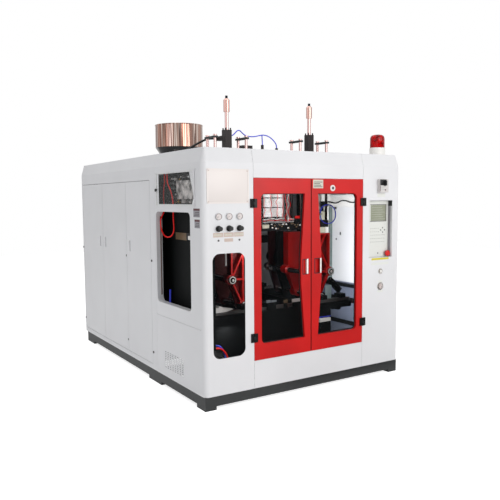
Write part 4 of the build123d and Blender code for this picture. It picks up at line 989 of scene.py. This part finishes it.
def door_pulls():
    """The dark rim, painted shade round the recess, and the bright edge of the sunk pull in each door."""
    edge_low, edge_high = 1063, 1197
    boxes("left_pull_edge", "pull",
          [((1042, -1.5, edge_low), (1058, 18, edge_high))], bevel=1, body="left_door")
    # The dark rim is painted shade at the edge of each pull's recess
    for side, middle in (("left", DOOR_MIDDLE - 67), ("right", DOOR_MIDDLE + 67)):
        outer = rounded_rectangle(middle - 34, middle + 34, edge_low - 4, edge_high + 2)
        rim(f"{side}_pull_shade_rim", "maroon", outer, 8, y0=-0.7, y1=0, body=f"{side}_door")
    boxes("right_pull_edge", "pull",
          [plate(1194, 1208, edge_low, edge_high, proud=1.5)], bevel=0.5, body="right_door")


def door_trim():
    """The strip between the doors, a label with bars for its print, and the hinge screws."""
    strip = plate(DOOR_MIDDLE - 8, DOOR_MIDDLE - 1.5, DOOR_BOTTOM + 4, DOOR_TOP - 4, proud=0.8)
    boxes("door_edge_strip", "inner_black", [strip], bevel=0.3, body="left_door")
    left, right, bottom = 1112, 1226, 1824
    boxes("door_label", "pale",
          [plate(left, right, bottom, bottom + 76)], bevel=0, body="right_door")
    rows = [plate(left + 10, right - 10 - 13 * (row % 3), bottom + 10 + 14 * row, bottom + 16 + 14 * row,
                  face=-0.5, proud=0.4) for row in range(4)]
    boxes("door_label_print", "print", rows, bevel=0, body="right_door")
    screws = [plate(x - 3, x + 3, z - 3, z + 3, face=-10, proud=3)
              for x in (464, 1725) for z in (530, 580, 1672, 1722)]
    boxes("hinge_screws_cover", "abs", screws)


class MACHINE_OT_doors(bpy.types.Operator):
    """Finishes the two front doors, their seals, pulls, lock and hinges"""

    bl_idname = "machine.doors"
    bl_label = "Front doors"

    def execute(self, context):
        dress("door", "left_door", "right_door")
        dress("hinge", "hinge_fixed_leaves")
        door_seals(context.scene.machine_sizes.seal_width / MM)
        door_lock()
        door_pulls()
        door_trim()
        return {"FINISHED"}


def cover_fittings():
    """The service cover's knob, the strips along its free edges and its hinge knuckles."""
    back, front = -0.2, -4.8
    low, high, hinge_side, free_side = 1681.7, 1968.3, 136, 890.3
    strip = 3.3
    discs("cover_knob", "abs", [(-5, 881, 1819)], TO_LEFT,
          [(0, 9), (4, 9), (5, 14), (12, 14), (13.4, 12)], body="service_window")
    strips = [((front, y0, z0), (back, y1, z1)) for y0, y1, z0, z1 in (
        (hinge_side, free_side - strip, low, low + strip),
        (hinge_side, free_side - strip, high - strip, high),
        (free_side - strip, free_side, low, high),
    )]
    boxes("cover_edge", "film", strips, bevel=0.5, body="service_window")
    discs("cover_knuckles", "powder", [(-5, 131, z) for z in (1682.5, 1778, 1873)], UP,
          [(0, 5.2), (0.8, 5.9), (93.7, 5.9), (94.5, 5.2)], steps=20, body="service_window")


class MACHINE_OT_windows(bpy.types.Operator):
    """Glazes the doors, the front panel and the service cover"""

    bl_idname = "machine.windows"
    bl_label = "Windows"

    def execute(self, context):
        dress("clear", "front_left_pane", "left_door_pane", "right_door_pane")
        dress("cover", "service_window")
        cover_fittings()
        return {"FINISHED"}


# Controls

def add_tick(bm, x, turn, reach, back, thick):
    """A small square of a gauge's scale or needle, at a reach and turn from its middle."""
    cx, cz = x + reach * math.cos(turn), GAUGE_LEVEL + reach * math.sin(turn)
    add_box(bm, (cx - 1, back - thick, cz - 1), (cx + 1, back, cz + 1))


def gauge_faces():
    """The dial, scale, needle and rim of each gauge."""
    dials = bmesh.new()
    marks = bmesh.new()
    for x in GAUGE_X:
        add_turned(dials, (x, DIAL_FACE, GAUGE_LEVEL), TO_FRONT, [(0, 23.5), (0.5, 23.5)])
        for step in range(11):
            add_tick(marks, x, math.radians(225 - 27 * step), reach=18.5, back=DIAL_FACE - 0.4, thick=0.5)
        for step in range(12):
            add_tick(marks, x, math.radians(200), reach=1.5 * step, back=DIAL_FACE - 0.5, thick=0.6)
    discs("gauge_rims", "bezel", [(x, GAUGE_LIP, GAUGE_LEVEL) for x in GAUGE_X],
          TO_FRONT, [(-2, 27), (0.5, 26.8), (0.6, 24.2), (-3, 23.4)], steps=40)
    piece("gauge_dials", dials, "dial")
    piece("gauge_needles", marks, "print", smooth=False)


def operator_panel():
    """The display with bars for its lines, the legends of the keys, and five square keys."""
    display_face = KEYPAD_FACE - 1.6
    boxes("display", "screen",
          [plate(1857, 2055, 1513, 1665, face=display_face, proud=1)], bevel=0.3)
    rows = [plate(1868, 2044 - 20 * (row % 3), 1528 + 22 * row, 1530 + 22 * row,
                  face=display_face - 0.9, proud=0.4) for row in range(6)]
    boxes("display_lines", "key", rows, bevel=0)
    key_face = KEYPAD_FACE - 1.1
    keys_left, keys_top, column_pitch, row_pitch = 1856, 1446, 25, 33
    arrows_left, arrow_rows = 1960, 2
    legends = []
    chance = random.Random(7)
    for row in range(5):
        for column in range(8):
            x = keys_left + column * column_pitch
            z = keys_top - row * row_pitch
            if x > arrows_left and row < arrow_rows:
                continue
            wide = chance.uniform(5, 11)
            legends.append(plate(x + 2, x + 2 + wide, z - 9, z - 5, face=key_face))
    boxes("key_legends", "print", legends, bevel=0)
    arrows = [(2018, 1443), (1992, 1421), (2044, 1421), (2018, 1399), (1956, 1196)]
    boxes("arrow_keys", "print",
          [plate(x - 6, x + 6, z - 6, z + 6, face=key_face, proud=0.8) for x, z in arrows], bevel=0.4)


def column_labels():
    """Tape and strips on the control column, and the plate and marks of the main switch."""
    left, right = 1824, 2050
    boxes("yellow_strip", "yellow", [plate(left, right, 1136, 1155, proud=0.8)], bevel=0)
    pale = [(left, right, 1088, 1110), (1912, 1968, 915, 932), (1905, 1975, 818, 838),
            (1893, 1997, 1742, 1778)]
    boxes("pale_strips", "film", [plate(*sides, proud=0.5) for sides in pale], bevel=0)
    box_face = SWITCH_BOX_FACE
    boxes("switch_plate", "abs",
          [plate(1888, 1968, 1853, 1908, face=box_face + 0.5, proud=2)], bevel=0.8)
    rows = [(1893, 1962, 1842, 1847), (1893, 1944, 1826, 1832), (1893, 1950, 1811, 1817)]
    boxes("switch_rows", "key",
          [plate(*sides, face=box_face, proud=0.7) for sides in rows], bevel=0)
    marks = [(1888, 1893, 1800, 1850), (1948, 1964, 1804, 1815)]
    boxes("switch_marks", "maroon",
          [plate(*sides, face=box_face, proud=0.8) for sides in marks], bevel=0)


def recess_trim():
    """The grey side of the panel's recess, painted shade, its dark cap, a painted shadow, and the frame
    round the display.
    """
    # Grey on the white side of the recess: painted shade
    boxes("recess_side_shade", "warn", [((2091, 22, 1162), (2093, 53, 1706))], bevel=0.4)
    low, high = 1505, 1672
    bars = [(2055.5, 2062.5, low, high), (1850, 2055, low, low + 6), (1850, 2055, high - 5, high)]
    boxes("display_frame", "print",
          [plate(*sides, face=50.4, proud=1.2) for sides in bars], bevel=0.2)
    # Black under the top of the recess: a painted shadow
    boxes("recess_top_shadow", "abs", [((2090.4, 3, 1655), (2092.9, 50, 1707))], bevel=0.4)


class MACHINE_OT_controls(bpy.types.Operator):
    """Dresses the gauges, regulators, operator panel, buttons and main switch"""

    bl_idname = "machine.controls"
    bl_label = "Controls"

    def execute(self, context):
        dress("zinc", "pressure_gauges")
        dress("abs", "regulator_knob_1", "regulator_knob_2", "regulator_knob_3", "main_switch_knob")
        dress("chrome", "selector_knob")
        dress("film", "hmi_panel")
        dress("stop", "stop_button")
        dress("white_abs", "start_button")
        dress("switch", "switch_box")
        gauge_faces()
        operator_panel()
        column_labels()
        recess_trim()
        return {"FINISHED"}


# Roof

def beacon_lens():
    """A domed lens with upright flutes."""
    low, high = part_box("beacon_dome")
    centre = (low + high) / 2
    radius = (high.x - low.x) / 2
    tall = high.z - low.z
    steps = 96
    profile = [(0, 1), (0.62, 1), (0.74, 0.985), (0.84, 0.93), (0.92, 0.82), (0.975, 0.62), (1, 0.36)]
    bm = bmesh.new()
    rings = []
    for along, share in profile:
        ring = []
        for step in range(steps):
            angle = 2 * math.pi * step / steps
            flute = 1 - 0.02 * (step % 4 in (0, 1)) * (along < 0.8)
            reach = radius * share * flute
            ring.append(bm.verts.new((centre.x + reach * math.cos(angle),
                                      centre.y + reach * math.sin(angle), low.z + tall * along)))
        rings.append(ring)
    skin_rings(bm, rings, foot=False)
    lens = piece("beacon_lens", bm, "lens")
    wall = lens.modifiers.new("wall", "SOLIDIFY")
    wall.thickness = 3 * MM
    wall.offset = -1
    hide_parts("beacon_dome")


class MACHINE_OT_roof(bpy.types.Operator):
    """Dresses the hopper, beacon and blow units"""

    bl_idname = "machine.roof"
    bl_label = "Roof"

    def execute(self, context):
        dress("hopper", "hopper")
        dress("unit", "blow_cylinders")
        dress("rods", "left_blow_rods", "right_blow_rods")
        dress("black", "left_blow_head", "right_blow_head")
        dress("white_abs", "beacon_base")
        dress("zinc", "beacon_reflector")
        beacon_lens()
        return {"FINISHED"}


# Inside

def beam_fittings():
    """The tray and scale pieces on the front beam, and the duct that drops beside it."""
    boxes("beam_tray", "white_abs", [((1343, 190, 556), (1480, 215, 590))], bevel=3)
    boxes("beam_tray_line", "blue_tube", [((1343, 209, 596), (1496, 215, 604))], bevel=2)
    foot, post_face = 730, RAIL_FACE + 9
    posts = [((x0, RAIL_FACE, foot), (x1, post_face, top))
             for x0, x1, top in ((762, 858, 797), (948, 986, 776), (1050, 1150, 778))]
    boxes("rail_posts", "inner_black", posts, bevel=1)
    for name, finish, slot, bevel, parts in (
        ("rail_scale", "pull", "signal_white", 2, [(1042, 1160, 776, 806)]),
        ("rail_cap", "grey", "ground_steel", 4, [(752, 800, 797, 822), (806, 866, 797, 816)]),
        ("rail_stop", "bronze", "ground_steel", 4, [(944, 990, 776, 806)]),
    ):
        blocks = [plate(*sides, face=post_face + 1, proud=11) for sides in parts]
        boxes(name, finish, blocks, bevel=bevel)
    # The end guard and the drop duct take the brightest white, which lifts them against the shade they sit
    # in: painted light
    guard = bmesh.new()
    outline = [(236, 760), (330, 760), (414, 778), (330, 792), (268, 818), (262, 800), (236, 806)]
    add_prism(guard, outline, 222, 290)
    piece("end_guard", guard, "pull", smooth=False)
    boxes("drop_duct", "pull", [((376, 296, 1151), (390, 304, 2104))])


class MACHINE_OT_frame(bpy.types.Operator):
    """Finishes the base, frame, beams and rails"""

    bl_idname = "machine.frame"
    bl_label = "Base and frame"

    def execute(self, context):
        dress("black", "base_frame")
        dress("inner_black", "machine_frame", "clamp_beams")
        dress("steel", "clamp_rails")
        beam_fittings()
        return {"FINISHED"}


def nut_highlight_rings(side):
    """The chamfer ring and the plug in each tie-bar nut, white as a painted highlight of the chrome, and
    the dark socket.
    """
    body = f"{side}_front_platen"
    middle = middle_of(body)
    front = inwards(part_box(f"{side}_tie_bars")[0].y)
    upper, lower = TIE_BAR_LEVELS
    places = [(middle - TIE_BAR_SPREAD, front, upper), (middle + TIE_BAR_SPREAD, front, upper),
              (middle, front, lower)]
    # White satin paint on the ring and plug is a painted highlight of the chrome nut
    discs(f"{side}_nut_highlight_rings", "pull", places, TO_FRONT,
          [(-9, 33.6), (0.2, 33.6), (1.2, 31), (1.2, 26), (0.4, 25.5)], steps=40, body=body)
    discs(f"{side}_nut_sockets", "inner_black", [(x, y + 1, z) for x, y, z in places],
          TO_FRONT, [(-2, 25.8), (1.4, 25.8), (1.6, 24.5)], steps=40, body=body)
    discs(f"{side}_nut_highlight_plugs", "pull", [(x + 4, y, z - 2) for x, y, z in places],
          TO_FRONT, button_profile(12, 4, edge=2), steps=24, body=body)


def cable_chain():
    """The links of the right carriage's cable chain, on the strip that they lie on."""
    first_x, first_z, across_step, down_step = 1566, 938, 17, 16
    bm = bmesh.new()
    for link in range(8):
        x, z = first_x + across_step * link, first_z - down_step * link
        add_prism(bm, [(x, z), (x + 14, z - 13), (x + 36, z + 9), (x + 22, z + 22)], 306, 340)
    add_prism(bm, [(1560, 905), (1684, 789), (1706, 811), (1582, 928)], 314, 332)
    piece("cable_chain", bm, "inner_black", body="right_carriage", smooth=False)


class MACHINE_OT_stations(bpy.types.Operator):
    """Finishes the clamp stations"""

    bl_idname = "machine.stations"
    bl_label = "Clamp stations"

    def execute(self, context):
        # The left rear platen takes a darker copy of the platen red: painted shade
        dress("shaded_platen", "left_rear_platen")
        dress("rear_platen", "right_rear_platen")
        for side in ("left", "right"):
            dress("platen", f"{side}_front_platen")
            nut_highlight_rings(side)
            dress("chrome", f"{side}_tie_bars")
            dress("inner_black", f"{side}_carriage")
        boxes("carriage_guard", "teal",
              [((1500, 296.5, 640), (1575, 300, 886))], bevel=0.5, body="right_carriage")
        cable_chain()
        return {"FINISHED"}


def parison_cutter():
    """The cutter below the die heads, held by two arms from the manifold."""
    low, high = 1425, 1500
    bar = ((938, CUTTER_FACE, low), (1350, 600, high))
    front_plate = ((1338, CUTTER_FACE - 6, low), (1430, CUTTER_FACE + 4, high))
    arms = [((x0, 580, high), (x1, 600, 1850)) for x0, x1 in ((946, 966), (1228, 1246))]
    bracket = ((1320, 552, high - 10), (1388, 564, 1539))
    boxes("parison_cutter", "inner_black", [bar, front_plate, *arms, bracket], bevel=3)
    boxes("cutter_label", "beige",
          [plate(940, 1016, 1450, 1486, face=CUTTER_FACE, proud=4)])
    boxes("cutter_tag", "stop", [((1325, 549, 1539), (1381, 565, 1563))], bevel=2)
    chance = random.Random(2)
    studs_left, studs_right, pitch, middle = 1040, 1420, 20, 1462
    # The white studs are painted highlights on small bolt heads; the bronze plugs are duller heads
    bright, dull = [], []
    for x in range(studs_left, studs_right, pitch):
        face = CUTTER_FACE - 6 if x > 1345 else CUTTER_FACE
        place = (x + chance.uniform(-8, 8), face, middle + chance.uniform(-28, 28))
        chance.choice((bright, dull, dull)).append(place)
    discs("cutter_highlight_studs", "pull", bright, TO_FRONT, button_profile(7, 9, edge=3), steps=14)
    discs("cutter_plugs", "bronze", dull, TO_FRONT, button_profile(8, 7, edge=3), steps=14)


def heater_leads():
    """Red and pale leads tied along the die heads, down the cutter's arm and along its top."""
    chance = random.Random(11)
    head_top, reach, head_step, arm_step = 1846, 67.5, 37, 43
    arm_top, arm_x, arm_face = 1850, 1234, 575
    bar_left, bar_right, bar_step = 960, 1340, 42
    red, pale = [], []
    for x in HEAD_X:
        for side in (-1, 1):
            route = []
            for step in range(9):
                angle = math.radians(-90 + side * (38 + chance.uniform(-16, 16)))
                route.append((x + reach * math.cos(angle), HEAD_DEPTH + reach * math.sin(angle),
                              head_top - head_step * step))
            red.append(route)
    for offset, home in ((-6, red), (16, pale), (34, red)):
        home.append([(arm_x + offset + chance.uniform(-13, 13), arm_face - chance.uniform(0, 6),
                      arm_top - arm_step * step) for step in range(9)])
    for level, home in ((1508, pale), (1520, red), (1534, pale)):
        home.append([(x, 590 - 4 * (level % 3), level + chance.uniform(-5, 7))
                     for x in range(bar_left, bar_right, bar_step)])
    wires("red_leads", "red_tube", red, radius=2.4)
    wires("pale_leads", "pull", pale, radius=3.2)


class MACHINE_OT_extruder(bpy.types.Operator):
    """Dresses the extruder, its drive and the die heads"""

    bl_idname = "machine.extruder"
    bl_label = "Extruder"

    def execute(self, context):
        dress("inner_black", "extruder_barrel")
        dress("mica", "heater_bands")
        dress("grey", "power_units")
        parison_cutter()
        heater_leads()
        return {"FINISHED"}


def valve_fittings():
    """Push-in fittings and small valves on the partition behind the upper opening."""
    chance = random.Random(5)
    front, foot, column_pitch, row_pitch = 350, 1716, 62, 54
    kinds = {"white_abs": [], "brass": [], "zinc": [], "print": [], "post": []}
    for row in range(5):
        for column in range(9):
            kind = chance.choice(list(kinds))
            y = front + column_pitch * column + chance.uniform(-18, 18)
            z = foot + row_pitch * row + chance.uniform(-16, 16)
            reach = chance.uniform(14, 60)
            radius = chance.uniform(7, 20)
            kinds[kind].append((y, z, reach, radius))
    for kind, places in kinds.items():
        bm = bmesh.new()
        for y, z, reach, radius in places:
            profile = [(0, radius), (reach * 0.5, radius), (reach * 0.55, radius * 0.6),
                       (reach, radius * 0.6)]
            add_turned(bm, (PARTITION, y, z), TO_LEFT, profile, 14)
        piece(f"valve_{kind}", bm, kind)


def bay_trim():
    """A clip, a hose stub, a bare plate on the partition and the gasket of the lower opening."""
    boxes("bay_clip", "white_abs", [((3, 232, 1398), (26, 270, 1430))], bevel=2)
    wires("bay_stub", "blue_tube",
          [[(60, 764, 797), (60, 763, 850), (60, 760, 915)]], radius=8)
    boxes("bay_plate", "bronze", [((PARTITION - 6.5, 624, 1366), (PARTITION, 845, 1431))])
    boxes("jamb_gasket", "bezel", [((38, 906.8, 850), (49, 911.5, 1580))])


class MACHINE_OT_bay(bpy.types.Operator):
    """Dresses the fittings in the service bay"""

    bl_idname = "machine.bay"
    bl_label = "Service bay"

    def execute(self, context):
        dress("bay", "bay_fittings")
        bay_trim()
        valve_fittings()
        return {"FINISHED"}


# Stage, with its sizes and places in metres

def area_light(name, place, target, size, power, colour=(1, 1, 1)):
    """A rectangular lamp that looks from its place to its target."""
    data = bpy.data.lights.new(name, "AREA")
    data.shape = "RECTANGLE"
    data.size, data.size_y = size
    data.energy = power
    data.color = colour
    lamp = put(name, data)
    lamp.visible_camera = False
    lamp.location = place
    lamp.rotation_mode = "QUATERNION"
    lamp.rotation_quaternion = (Vector(target) - Vector(place)).to_track_quat("-Z", "Y")


def stage_sheet(name, finish, size, place=(0, 0, 0), tilt=0.0):
    """A flat sheet of the stage, tilted about the x axis."""
    bm = bmesh.new()
    bmesh.ops.create_grid(bm, x_segments=1, y_segments=1, size=0.5)
    turn = Matrix.Rotation(tilt, 4, "X") @ Matrix.Diagonal((*size, 1, 1))
    bmesh.ops.transform(bm, matrix=turn, verts=bm.verts)
    mesh = bpy.data.meshes.new(name)
    bm.to_mesh(mesh)
    bm.free()
    mesh.materials.append(finish)
    sheet = put(name, mesh)
    sheet.location = place
    return sheet


def dark_flag(name, size, place, tilt=0.0):
    """A black studio flag, seen by reflections only: panes and gloss mirror it as a dark room."""
    flag = stage_sheet(name, FINISHES["flag"], size, place, tilt)
    flag.visible_camera = False
    flag.visible_diffuse = False
    flag.visible_transmission = False
    flag.visible_shadow = False


def seen_by(tree, *kinds):
    """1 for rays of these kinds, and 0 for the others."""
    ray = add(tree, "ShaderNodeLightPath")
    seen = ray.outputs[kinds[0]]
    for kind in kinds[1:]:
        either = add(tree, "ShaderNodeMath", {0: seen, 1: ray.outputs[kind]}, operation="MAXIMUM")
        seen = either.outputs[0]
    return seen


def white_background(tree, strength):
    """The world: plain white where seen, mirrored or seen through, and weaker as light."""
    tree.nodes.clear()
    seen = seen_by(tree, "Is Camera Ray", "Is Glossy Ray", "Is Transmission Ray")
    level = add(tree, "ShaderNodeMapRange", {"Value": seen, "To Min": strength, "To Max": 1.0})
    back = add(tree, "ShaderNodeBackground", {"Color": (1, 1, 1), "Strength": level.outputs["Result"]})
    add(tree, "ShaderNodeOutputWorld", {"Surface": back.outputs["Background"]})


def floor_finish():
    """Pale floor: white where it is seen, with the machine's soft shadow kept."""
    pale = (0.9, 0.9, 0.9)
    material, tree, shader = new_finish("pale_floor", pale, 0.9)
    grain = surface_noise(tree, grain=40, detail=2)
    tone(tree, shader, pale, (0.87, 0.87, 0.87), grain)
    shader.inputs["Emission Color"].default_value = (1, 1, 1, 1)
    seen = seen_by(tree, "Is Camera Ray", "Is Glossy Ray")
    glow = add(tree, "ShaderNodeMath", {0: seen, 1: 0.75}, operation="MULTIPLY")
    tree.links.new(glow.outputs[0], shader.inputs["Emission Strength"])
    return material


def lamps(settings):
    """Three studio lamps outside, and four inside that stand for the machine's own work light."""
    cool = (0.94, 0.97, 1.0)
    area_light("key", (0.8, -6.5, 2.7), (0, 0, 1.0), (5, 3), settings.key_power)
    area_light("side", (-6.5, -1.0, 2.6), (0, 0, 1.1), (4, 3), settings.side_power, (0.93, 0.95, 1.0))
    area_light("top", (0, 0, 6.0), (0, 0, 0), (5, 5), settings.top_power)
    for name, place, target, size, power, colour in (
        ("inner", (1762, 560, 1120), (2192, 830, 1120), (0.3, 1.5), settings.inner_power, cool),
        ("low", (330, 130, 640), (330, 130, 330), (0.1, 0.1), settings.low_power, (1, 1, 1)),
        ("stations", (1000, 230, 1290), (1000, 560, 1060), (0.7, 0.15), settings.station_power, (1, 1, 1)),
        ("heads", (1100, 250, 1830), (1097, 650, 1720), (0.5, 0.2), settings.head_power, (1, 1, 1)),
    ):
        area_light(name, spot(*place), spot(*target), size, power, colour)


class MACHINE_OT_stage(bpy.types.Operator):
    """Makes the floor, the world and the lights"""

    bl_idname = "machine.stage"
    bl_label = "Stage"

    def execute(self, context):
        settings = context.scene.machine_stage
        stage_sheet("floor", floor_finish(), (28, 28))
        world = bpy.data.worlds.new("studio")
        world.use_nodes = True
        white_background(world.node_tree, settings.surround)
        context.scene.world = world
        context.scene.view_settings.view_transform = "Standard"
        lamps(settings)
        dark_flag("upright_flag", (7.0, 2.4), (2.2, -7.5, 1.2), math.radians(90))
        dark_flag("floor_flag", (5.0, 5.7), (2.4, -4.55, 0.02))
        return {"FINISHED"}


STEPS = ("finishes", "camera", "cords", "cladding", "doors", "windows", "controls", "roof", "frame",
         "stations", "extruder", "bay", "stage")


class MACHINE_PT_pieces(bpy.types.Panel):
    """Lists the machine's pieces in the sidebar"""

    bl_label = "Blow Moulding Machine"
    bl_idname = "MACHINE_PT_pieces"
    bl_space_type = "VIEW_3D"
    bl_region_type = "UI"
    bl_category = "Machine"

    def draw(self, context):
        for step in STEPS:
            self.layout.operator(f"machine.{step}")


CLASSES = (
    MachineColours, MachineSizes, StageSettings, MACHINE_OT_finishes, MACHINE_OT_camera,
    MACHINE_OT_cords, MACHINE_OT_cladding, MACHINE_OT_doors, MACHINE_OT_windows, MACHINE_OT_controls,
    MACHINE_OT_roof, MACHINE_OT_frame, MACHINE_OT_stations, MACHINE_OT_extruder, MACHINE_OT_bay,
    MACHINE_OT_stage, MACHINE_PT_pieces,
)


def register():
    for made in CLASSES:
        bpy.utils.register_class(made)
    bpy.types.Scene.machine_colours = bpy.props.PointerProperty(type=MachineColours)
    bpy.types.Scene.machine_sizes = bpy.props.PointerProperty(type=MachineSizes)
    bpy.types.Scene.machine_stage = bpy.props.PointerProperty(type=StageSettings)


def unregister():
    del bpy.types.Scene.machine_stage
    del bpy.types.Scene.machine_sizes
    del bpy.types.Scene.machine_colours
    for made in reversed(CLASSES):
        bpy.utils.unregister_class(made)


def main():
    register()
    for step in STEPS:
        getattr(bpy.ops.machine, step)()


if __name__ == "__main__":
    main()
